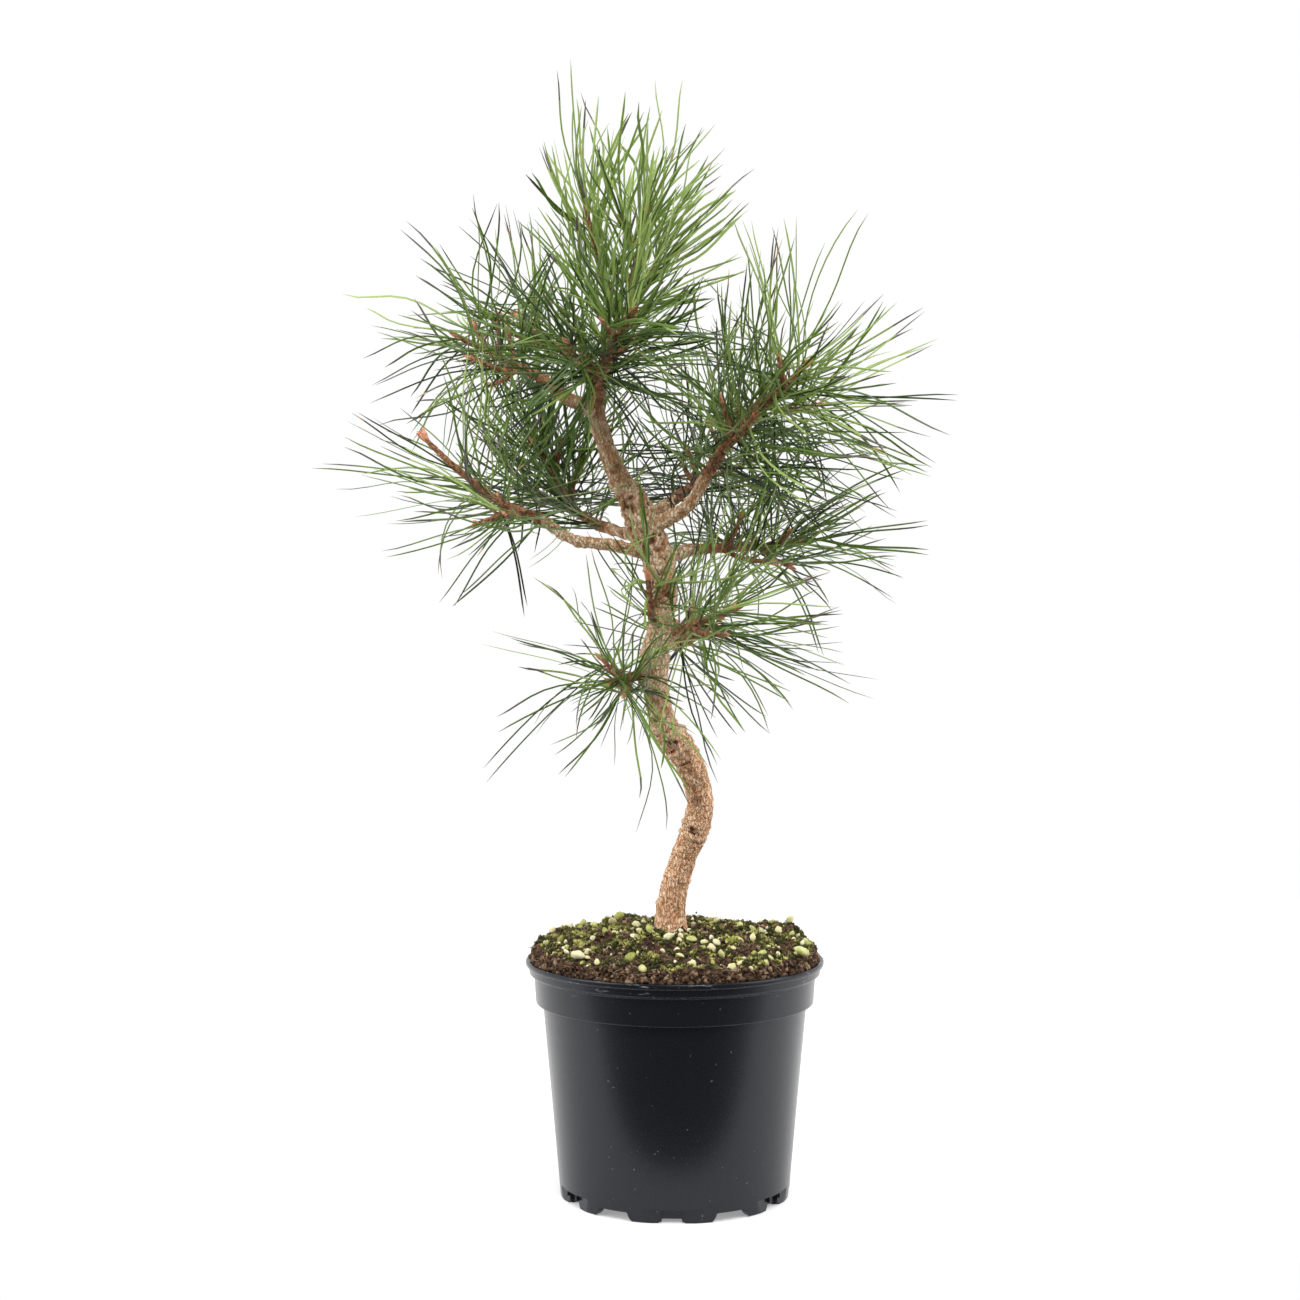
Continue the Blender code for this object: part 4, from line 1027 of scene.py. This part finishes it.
def grow_twigs(name, stem, limbs, others):
    """The forks of a stem and the small twigs of its seeded rule, leaving out any that comes too near."""
    tips, count, length, _, seed = LIMBS[name][3:]
    own_apart, other_apart = TWIG_APART
    chance = random.Random(seed)
    twigs = []
    for number, tip in enumerate(tips):
        foot, _ = point_on(stem, 0.12 + 0.2 * number)
        twigs.append(twig_path(foot, np.array(tip, float)))
    for number in range(TWIG_TRIES * count):
        if len(twigs) == len(tips) + count:
            break
        share = 0.2 + 0.65 * ((number * GOLDEN_SHARE) % 1.0)
        foot, forward = point_on(stem, share)
        outward = sideways_of(forward, number * GOLDEN_TURN + chance.uniform(0, 0.5))
        heading = math.cos(TWIG_LEAN) * forward + math.sin(TWIG_LEAN) * outward + TWIG_LIFT * UP
        tip = foot + unit(heading) * length * chance.uniform(0.85, 1.15)
        outer = foot + 0.7 * (tip - foot)
        if (clearance(outer, tip, twigs + [stem]) > own_apart
                and clearance(outer, tip, others) > other_apart
                and clearance(outer, tip, limbs) > own_apart):
            twigs.append(twig_path(foot, tip))
    return twigs


def shoot_bark():
    made, tree, surface = new_material("shoot_bark", (0.22, 0.12, 0.06), 0.8, Specular_IOR_Level=0.3)
    streaks = mottle(tree, 420.0, 200.0, 0.35, 0.65)
    tree.links.new(mixed(tree, streaks.outputs["Mask"], (0.15, 0.058, 0.028), (0.42, 0.20, 0.10)),
                   surface.inputs["Base Color"])
    bump(tree, surface, streaks.outputs["Height"], 0.7, 0.5)
    return made


def make_boughs(bark, young_bark):
    for name in LIMBS:
        if not LIMBS[name][0]:
            continue
        path = limb_line(name, BOUGH_STEP)[0].copy()
        from_foot = np.linalg.norm(path[:, :3] - path[0, :3], axis=1)
        path[:, 3] *= 1 + 0.35 * np.exp(-(from_foot / 12.0) ** 2)
        shape = bark_rings(path, BOUGH_SIDES, 0.6 * RELIEF)
        piece = finished(drawn_out(*shape), "bark_of_bough_" + name, [bark, young_bark], "bark",
                         "bough_" + name, sharp=0.0)
        for face in piece.data.polygons:
            middle = face.center / MM
            nearest = np.linalg.norm(path[:, :3] - np.array(middle), axis=1).argmin() / (len(path) - 1)
            face.material_index = nearest + 0.15 * noise.noise(middle / 3.0) > BARE_SHARE[name]


def needled_stem(name):
    """The end of a bough, or of the trunk, that still bears needles, with the stem that goes on from it."""
    wood, stem = limb_line(name, 4.0)
    if not LIMBS[name][0]:
        wood = smooth_path(TRUNK, 4.0)
    start = round(BARE_SHARE[name] * (len(wood) - 1))
    return np.vstack([wood[start:-1], stem])


young_bark = shoot_bark()
make_boughs(bark, young_bark)
limbs = [trunk_path] + [limb_line(name, 10.0)[0] for name in LIMBS if LIMBS[name][0]]
shoots = {name: [limb_line(name, 10.0)[1]] for name in LIMBS}
for name, own in shoots.items():
    others = [path for other, paths in shoots.items() if other != name for path in paths]
    own += grow_twigs(name, own[0], limbs, others)
needled = {name: [needled_stem(name)] + own[1:] for name, own in shoots.items()}

# Needled shoots: this year's and last year's wood, red-brown and rough with the scale leaves that
# bore the needle pairs. They fork from each bough's end and end in buds.
SHOOT_SIDES = 14
SCALE_STEP = 0.85
SCALE_SIZE = (0.75, 0.30, 2.6)


def frame_matrix(place, forward, outward, size):
    """A matrix whose Z runs along forward and whose Y points outward."""
    outward = unit(outward - forward * np.dot(outward, forward))
    across = np.cross(outward, forward)
    made = np.eye(4)
    made[:3, 0] = across * size[0]
    made[:3, 1] = outward * size[1]
    made[:3, 2] = forward * size[2]
    made[:3, 3] = place
    return made


def scale_shape():
    """A pointed scale leaf along Z, hollow side in, one unit long."""
    mesh = bmesh.new()
    bmesh.ops.create_cone(mesh, cap_ends=True, cap_tris=True, segments=4, radius1=0.9, radius2=0.0,
                          depth=1.0, matrix=Matrix.Translation((0, 0, 0.5)))
    for corner in mesh.verts:
        corner.co.y += 0.9 * corner.co.z ** 2
    bmesh.ops.triangulate(mesh, faces=mesh.faces)
    points = np.array([corner.co[:] for corner in mesh.verts])
    faces = np.array([[corner.index for corner in face.verts] for face in mesh.faces])
    mesh.free()
    return points, faces


def make_shoots():
    """Every stem and twig as one mesh, and the scale leaves on them as another."""
    chance = random.Random(61)
    wood = bmesh.new()
    scales = []
    for name in LIMBS:
        for shoot in shoots[name]:
            part = drawn_out(*bark_rings(smooth_path(shoot, 2.5), SHOOT_SIDES, 0.16))
            data = bpy.data.meshes.new("part")
            part.to_mesh(data)
            part.free()
            wood.from_mesh(data)
        for shoot in needled[name]:
            length = float(np.linalg.norm(np.diff(shoot[:, :3], axis=0), axis=1).sum())
            for place in range(int(length / SCALE_STEP)):
                share = (place + 0.5) * SCALE_STEP / length
                foot, forward = point_on(shoot, share)
                radius = float(np.interp(share * (len(shoot) - 1), range(len(shoot)), shoot[:, 3]))
                outward = sideways_of(forward, place * GOLDEN_TURN)
                size = [part * chance.uniform(0.8, 1.2) for part in SCALE_SIZE]
                scales.append(frame_matrix(foot + 0.92 * radius * outward, forward, outward, size))
    tufts = ["needles_" + name for name in LIMBS]
    finished(wood, "needled_shoots", [young_bark], "bark", *tufts, sharp=0.0)
    papery = plain_rough("scale_leaf", (0.33, 0.145, 0.07), (0.52, 0.30, 0.17), 300.0)
    joined_copies("scale_leaves", scale_shape(), scales, [papery], [0] * len(scales), "bark", *tufts)


make_shoots()

# Buds: each shoot ends in a cluster of pointed winter buds, orange-brown, one in the middle and
# smaller ones round it. A bud is a slim cone wrapped in papery scales with pale fringed edges.
BUD_LENGTH = 10.5
BUD_WIDTH = 3.3
BUDS_ROUND = (4, 2)


def bud_shape():
    """A bud along Z, one unit long and one wide, with the steps of its overlapping scales."""
    mesh = bmesh.new()
    turns = [math.tau * place / 12 for place in range(12)]
    rings = []
    rows = 9
    for row in range(rows):
        for lip in (0.0, 0.85):
            share = (row + lip) / rows
            swell = math.sin(math.pi * min(1.0, 0.22 + 0.78 * share)) ** 0.75 * 0.5
            out = swell * (1.0 + 0.16 * lip)
            ring = []
            for number, turn in enumerate(turns):
                wave = 1.0 + 0.10 * lip * math.cos(5 * turn + 2.4 * row)
                ring.append(Vector((out * wave * math.cos(turn), out * wave * math.sin(turn),
                                    share + 0.05 * lip * math.cos(5 * turn + 2.4 * row))) / MM)
            rings.append(ring)
    rings.append([Vector((0.02 * math.cos(turn), 0.02 * math.sin(turn), 1.02)) / MM for turn in turns])
    mesh = drawn_out(rings)
    bmesh.ops.triangulate(mesh, faces=mesh.faces)
    points = np.array([corner.co[:] for corner in mesh.verts])
    faces = np.array([[corner.index for corner in face.verts] for face in mesh.faces])
    mesh.free()
    return points, faces


def set_buds():
    chance = random.Random(71)
    places = []
    kinds = []
    for name in LIMBS:
        for number, shoot in enumerate(shoots[name]):
            tip, forward = point_on(shoot, 1.0)
            full = 1.0 if number == 0 else 0.72
            cluster = [(forward, 1.0)]
            for around in range(BUDS_ROUND[min(number, 1)]):
                outward = sideways_of(forward, around * math.tau / 4 + chance.uniform(0, 1))
                cluster.append((unit(forward + 0.5 * outward + 0.4 * UP), chance.uniform(0.6, 0.85)))
            for heading, share in cluster:
                length = BUD_LENGTH * full * share * chance.uniform(0.85, 1.15)
                width = BUD_WIDTH * full * share ** 0.5
                places.append(frame_matrix(tip - heading, heading, sideways_of(heading, chance.uniform(0, 6)),
                                           (width, width, length)))
                kinds.append(chance.choice((0, 0, 1)))
    stuffs = [plain_rough("bud_orange", (0.66, 0.22, 0.11), (0.86, 0.47, 0.32), 420.0, 0.5),
              plain_rough("bud_brown", (0.34, 0.10, 0.045), (0.58, 0.27, 0.14), 420.0, 0.5)]
    joined_copies("winter_buds", bud_shape(), places, stuffs, kinds, "bark",
                  *["needles_" + name for name in LIMBS], sharp=50.0)


set_buds()

# Needles: long stiff needles in pairs, each half round, flat on the side that faces its twin, and
# gently bent. They stand round each shoot by the golden angle, wide open at its foot and closing to
# the bud, painted brightest on the top shoots. Their greens are partly their own and partly painted
# light and shade, and many tips are grey, partly in painted shade. A short brown sheath holds each pair.
NEEDLE_LENGTH = 96.0
Tuft = namedtuple("Tuft", "step open_at_foot open_at_tip drift curl short long bright needled_to below "
                          "grey stout seed")
# bright is each tuft's tone, partly its own green and partly painted light: highest on the lit top shoots, lowest
# on the shaded back tuft.
TUFTS = {
    "top": Tuft(1.8, 46, 22, (0.35, 0.0, 0.2), 0.35, 0.68, 1.02, 0.86, 1.0, 1.0, 0.10, 1.25, 4),
    "upper_left": Tuft(2.6, 92, 60, (0.1, 0.0, -0.2), 0.42, 0.70, 1.20, 0.56, 1.0, 0.6, 0.45, 1.00, 31),
    "upper_right": Tuft(1.3, 85, 52, (0.15, 0.0, 0.0), 0.32, 0.70, 1.25, 0.60, 1.0, 0.8, 0.30, 1.00, 69),
    "front": Tuft(1.2, 74, 40, (-0.1, 0.0, -0.2), 0.38, 0.70, 1.10, 0.46, 1.0, 0.5, 0.10, 1.05, 17),
    "middle_left": Tuft(1.4, 76, 28, (0.0, 0.0, 0.3), 0.40, 0.70, 1.15, 0.46, 1.0, 0.2, 0.15, 1.05, 32),
    "lower_left": Tuft(3.0, 80, 50, (-0.2, 0.0, 0.0), 0.50, 0.80, 1.30, 0.52, 0.7, 0.6, 0.50, 0.95, 22),
    "lower_right": Tuft(1.8, 92, 46, (0.15, 0.0, -0.15), 0.34, 0.70, 1.20, 0.44, 1.0, 0.2, 0.25, 1.00, 40),
    "low_right": Tuft(1.8, 86, 30, (0.0, 0.0, -0.2), 0.34, 0.60, 1.30, 0.70, 1.0, 0.8, 0.35, 0.95, 13),
    "low_left": Tuft(1.1, 96, 55, (0.0, 0.0, -0.35), 0.45, 0.38, 1.25, 0.64, 1.0, 0.7, 0.40, 0.95, 83),
    "low_front": Tuft(3.0, 60, 30, (0.5, 0.0, -0.2), 0.40, 0.50, 0.95, 0.62, 1.0, 0.5, 0.05, 1.00, 80),
    "low_back": Tuft(1.8, 70, 46, (-0.1, 0.0, -0.3), 0.45, 0.70, 1.25, 0.46, 1.0, 0.8, 0.20, 0.95, 26),
    "back": Tuft(2.4, 78, 48, (0.35, 0.0, -0.2), 0.42, 0.70, 1.10, 0.28, 1.0, 0.5, 0.10, 1.00, 3),
    "back_upper": Tuft(2.6, 86, 40, (-0.1, 0.0, -0.2), 0.42, 0.70, 1.10, 0.46, 1.0, 0.9, 0.20, 1.00, 26),
}
FORK_THINNING = 1.5
OPENING_SCATTER = 15.0
TWIG_THINNING = 2.2
FORWARD_BEND = 0.22
WAVE = 0.13
PAIR_SPLIT = math.radians(5.5)
NEEDLE_STATIONS = 10
NEEDLE_HALF_WIDTH = 0.65
NEEDLE_SECTION = ((-1.0, -0.12), (1.0, -0.12), (0.60, 0.62), (-0.60, 0.62))
NEEDLE_TAPER = ((0, 0.06, 0.8, 0.92, 1), (0.8, 1, 0.97, 0.78, 0.12))
SHEATH_LENGTH = 6.0
# Lit and shaded copies of one needle green, from a deep painted shade to a painted light yellow-green.
NEEDLE_GREENS_LIT_AND_SHADED = ((0.013, 0.029, 0.003), (0.044, 0.088, 0.010), (0.096, 0.168, 0.022),
                 (0.174, 0.268, 0.048), (0.288, 0.395, 0.105))
# Grey tips: partly the tips' own purple-grey, and partly painted shade of their backlit ends.
TIP_GREY_AND_SHADE = (0.090, 0.078, 0.060)
DRY_TIP = (0.42, 0.30, 0.13)
DRY_SHARE = 0.04


def needle_green(name, colour):
    made, tree, surface = new_material(name, colour, 0.36, Specular_IOR_Level=0.38)
    grain = mottle(tree, 700.0, 700.0, 0.3, 0.7)
    roughness = add_node(tree, "MapRange", {"Value": grain.outputs["Height"], "To Min": 0.28, "To Max": 0.44})
    tree.links.new(roughness.outputs[0], surface.inputs["Roughness"])
    bump(tree, surface, grain.outputs["Height"], 0.15, 0.1)
    return made


def pairs_of(name, chance):
    """Every pair of one tuft: foot, heading, the shoot's way, the way its needles part, length and shade."""
    share_of_length = LIMBS[name][6]
    tuft = TUFTS[name]
    pairs = []
    forks = len(LIMBS[name][3])
    for order, shoot in enumerate(needled[name]):
        length = float(np.linalg.norm(np.diff(shoot[:, :3], axis=0), axis=1).sum())
        reach = tuft.needled_to if order == 0 else 1.0
        step = tuft.step * (1.0 if order == 0 else FORK_THINNING if order <= forks else TWIG_THINNING)
        count = max(4, round(length * reach / step))
        for number in range(count):
            share = reach * (number + 0.5) / count
            foot, forward = point_on(shoot, share)
            for attempt in range(3):
                turn = number * GOLDEN_TURN + chance.uniform(-0.5, 0.5) + 0.8 * attempt
                outward = sideways_of(forward, turn)
                opening = math.radians(tuft.open_at_foot + (tuft.open_at_tip - tuft.open_at_foot) * share ** 1.6
                                       + chance.gauss(0, OPENING_SCATTER))
                heading = math.cos(opening) * forward + math.sin(opening) * outward
                if chance.random() < (1 - tuft.below) * -2 * heading[2]:
                    continue
                full = NEEDLE_LENGTH * share_of_length * chance.uniform(tuft.short, tuft.long)
                tip = foot + full * heading
                if clearance(foot + 0.1 * (tip - foot), tip, limbs) > 0.6:
                    aside = sideways_of(heading, chance.uniform(0, math.tau))
                    # The tone: the tuft's own, partly painted light; brighter towards the shoot's younger end,
                    # partly painted shade deeper in; a random spread widened to paint light and shade between
                    # needles; and a painted highlight on needles that point up.
                    shade = tuft.bright + 0.2 * share + chance.uniform(-0.60, 0.33) + 0.12 * heading[2]
                    pairs.append((foot, heading, forward, aside, full, shade))
                    break
    return pairs


def bent_lines(feet, headings, lengths, bends, waves, stations):
    """Centre lines that leave along their heading, turn steadily by their bend and wave once by their wave."""
    shares = np.linspace(0, 1, stations)
    middles = (shares[1:] + shares[:-1]) / 2
    swing = np.sin(math.tau * middles)
    ways = unit_rows(headings[:, None] + middles[None, :, None] * bends[:, None]
                     + swing[None, :, None] * waves[:, None])
    steps = ways * (lengths[:, None, None] * np.diff(shares)[None, :, None])
    lines = np.concatenate([np.zeros((len(feet), 1, 3)), np.cumsum(steps, axis=1)], axis=1)
    return feet[:, None] + lines


def needle_lines(name, pairs, spread):
    """The bent centre lines of one tuft's needles, the left one of every pair and then the right one."""
    tuft = TUFTS[name]
    feet, headings, forwards, asides, lengths, _ = (np.array(column) for column in zip(*pairs))
    count = len(feet)
    curls = spread.normal(0, tuft.curl, (count, 3)) * spread.choice((0.7, 1.0, 1.6), (count, 1))
    lines = []
    for half in (-1, 1):
        apart = unit_rows(headings + math.tan(PAIR_SPLIT) * half * asides * spread.uniform(0.3, 1.6, (count, 1)))
        level = np.hypot(apart[:, 0], apart[:, 1])[:, None]
        bends = (level * np.array(tuft.drift) + FORWARD_BEND * forwards + curls
                 + spread.normal(0, 0.3 * tuft.curl, (count, 3)))
        waves = spread.normal(0, WAVE, (count, 3))
        full = lengths * spread.uniform(0.93, 1.0, count)
        lines.append(bent_lines(feet, apart, full, bends, waves, NEEDLE_STATIONS))
    return np.concatenate(lines)


def needle_tones(pairs, grey, spread):
    """The tone of each stretch of each needle: lit and shaded greens from dark to bright, some grey tips that are
    partly painted shade, and some dry tips.
    """
    shades = np.tile([pair[-1] for pair in pairs], 2)
    tone = np.clip(np.round(shades * 4 + spread.uniform(-0.4, 0.4, len(shades))), 0, 4)
    kinds = np.repeat(tone[:, None], NEEDLE_STATIONS - 1, axis=1)
    # Grey tips, partly painted shade.
    kinds[spread.random(len(shades)) < grey, -2:] = len(NEEDLE_GREENS_LIT_AND_SHADED)
    kinds[spread.random(len(shades)) < DRY_SHARE, -1:] = len(NEEDLE_GREENS_LIT_AND_SHADED) + 1
    return kinds


def make_needles():
    greens = [needle_green(f"needle_{number}", colour)
              for number, colour in enumerate((*NEEDLE_GREENS_LIT_AND_SHADED, TIP_GREY_AND_SHADE))]
    dry = plain_rough("needle_dry", DRY_TIP, (0.30, 0.20, 0.10), 300.0, 0.6)
    sheath_brown = plain_rough("sheath_brown", (0.20, 0.13, 0.075), (0.36, 0.27, 0.17), 400.0)
    taper = np.interp(np.linspace(0, 1, NEEDLE_STATIONS), *NEEDLE_TAPER)
    sheaths = []
    for name in LIMBS:
        tuft = TUFTS[name]
        spread = np.random.default_rng(tuft.seed)
        pairs = pairs_of(name, random.Random(tuft.seed))
        sheaths += [(foot, heading, aside) for foot, heading, _, aside, _, _ in pairs]
        lines = needle_lines(name, pairs, spread)
        asides = np.array([pair[3] for pair in pairs])
        headings = lines[:, 1] - lines[:, 0]
        sides = np.cross(headings, np.concatenate([-asides, asides]))
        widths = tuft.stout * NEEDLE_HALF_WIDTH * spread.uniform(0.85, 1.15, (len(lines), 1)) * taper
        data = tube_mesh("tuft", lines, widths, NEEDLE_SECTION, unit_rows(sides),
                         needle_tones(pairs, tuft.grey, spread))
        finished_data(data, "tuft_" + name, greens + [dry], "needle_green", "needles_" + name, sharp=50.0)
    feet, headings, asides = (np.array(column) for column in zip(*sheaths))
    straight = np.zeros_like(feet)
    lines = bent_lines(feet, headings, np.full(len(feet), SHEATH_LENGTH), straight, straight, 4)
    widths = np.tile(np.array((0.7, 0.95, 0.85, 0.7)), (len(feet), 1))
    section = [(math.cos(turn), math.sin(turn)) for turn in (math.tau * place / 5 for place in range(5))]
    data = tube_mesh("needle_sheaths", lines, widths, section, asides)
    finished_data(data, "needle_sheaths", [sheath_brown], "bark", *["needles_" + name for name in LIMBS],
                  sharp=0.0)


make_needles()

# Stage: a pale glowing table that ends just in front of the picture, a white surround that is dim in
# front, broad lights to both sides and above, as in a studio, and a camera that looks slightly down.
CAMERA_PLACE = (-0.0158, -1.40, 0.3915)
CAMERA_PITCH = math.radians(1.812)
CAMERA_LENS = 60.92
TABLE = ((-1.2, -0.145), (1.2, -0.145), (1.2, 1.3), (-1.2, 1.3))
TABLE_GLOW = 0.30


def make_stage():
    mesh = bmesh.new()
    mesh.faces.new([mesh.verts.new((x, y, 0.0)) for x, y in TABLE])
    data = bpy.data.meshes.new("studio_table")
    mesh.to_mesh(data)
    mesh.free()
    white, _, surface = new_material("studio_white", (0.75, 0.75, 0.75), 0.9)
    surface.inputs["Emission Color"].default_value = (1.0, 1.0, 1.0, 1.0)
    surface.inputs["Emission Strength"].default_value = TABLE_GLOW
    data.materials.append(white)
    table = bpy.data.objects.new("studio_table", data)
    bpy.context.scene.collection.objects.link(table)
    table.location.z = -0.0002


def make_world():
    """White to the camera; as light, white behind the plant and at its sides, and dim in front of it."""
    world = bpy.data.worlds.new("studio")
    world.use_nodes = True
    tree = world.node_tree
    soft = tree.nodes["Background"]
    soft.inputs["Color"].default_value = (1.0, 1.0, 1.0, 1.0)
    place = add_node(tree, "TexCoord")
    way = add_node(tree, "SeparateXYZ", {0: place.outputs["Generated"]})
    behind = add_node(tree, "MapRange", {"Value": way.outputs["Y"], "From Min": -0.75, "From Max": 0.1,
                                         "To Min": 0.18, "To Max": 1.0}, interpolation_type="SMOOTHSTEP")
    tree.links.new(behind.outputs[0], soft.inputs["Strength"])
    seen = add_node(tree, "Background", {"Color": (1.0, 1.0, 1.0, 1.0), "Strength": 1.0})
    path = add_node(tree, "LightPath")
    both = add_node(tree, "MixShader", {0: path.outputs["Is Camera Ray"], 1: soft.outputs[0],
                                        2: seen.outputs[0]})
    tree.links.new(both.outputs[0], tree.nodes["World Output"].inputs["Surface"])
    bpy.context.scene.world = world


def add_light(name, place, aim, size, power):
    data = bpy.data.lights.new(name, "AREA")
    data.shape = "RECTANGLE"
    data.size, data.size_y = size
    data.energy = power
    light = bpy.data.objects.new(name, data)
    light.location = place
    light.rotation_euler = (Vector(aim) - Vector(place)).to_track_quat("-Z", "Y").to_euler()
    bpy.context.scene.collection.objects.link(light)


def make_camera():
    data = bpy.data.cameras.new("studio_camera")
    data.sensor_width = 36.0
    data.lens = CAMERA_LENS
    camera = bpy.data.objects.new("studio_camera", data)
    camera.location = CAMERA_PLACE
    camera.rotation_euler = (math.pi / 2 - CAMERA_PITCH, 0.0, 0.0)
    bpy.context.scene.collection.objects.link(camera)
    bpy.context.scene.camera = camera


make_stage()
make_world()
add_light("left_bank", (-1.5, -0.7, 1.1), (0, 0, 0.35), (1.2, 1.6), 22.0)
add_light("right_bank", (1.6, -0.5, 0.9), (0, 0, 0.35), (1.2, 1.6), 14.0)
add_light("top_bank", (0.0, -0.4, 2.0), (0, 0, 0.4), (1.6, 1.6), 18.0)
add_light("front_bank", (0.35, -1.5, 1.75), (0, 0, 0.4), (0.9, 0.9), 17.0)
make_camera()
bpy.context.scene.view_settings.view_transform = "Standard"
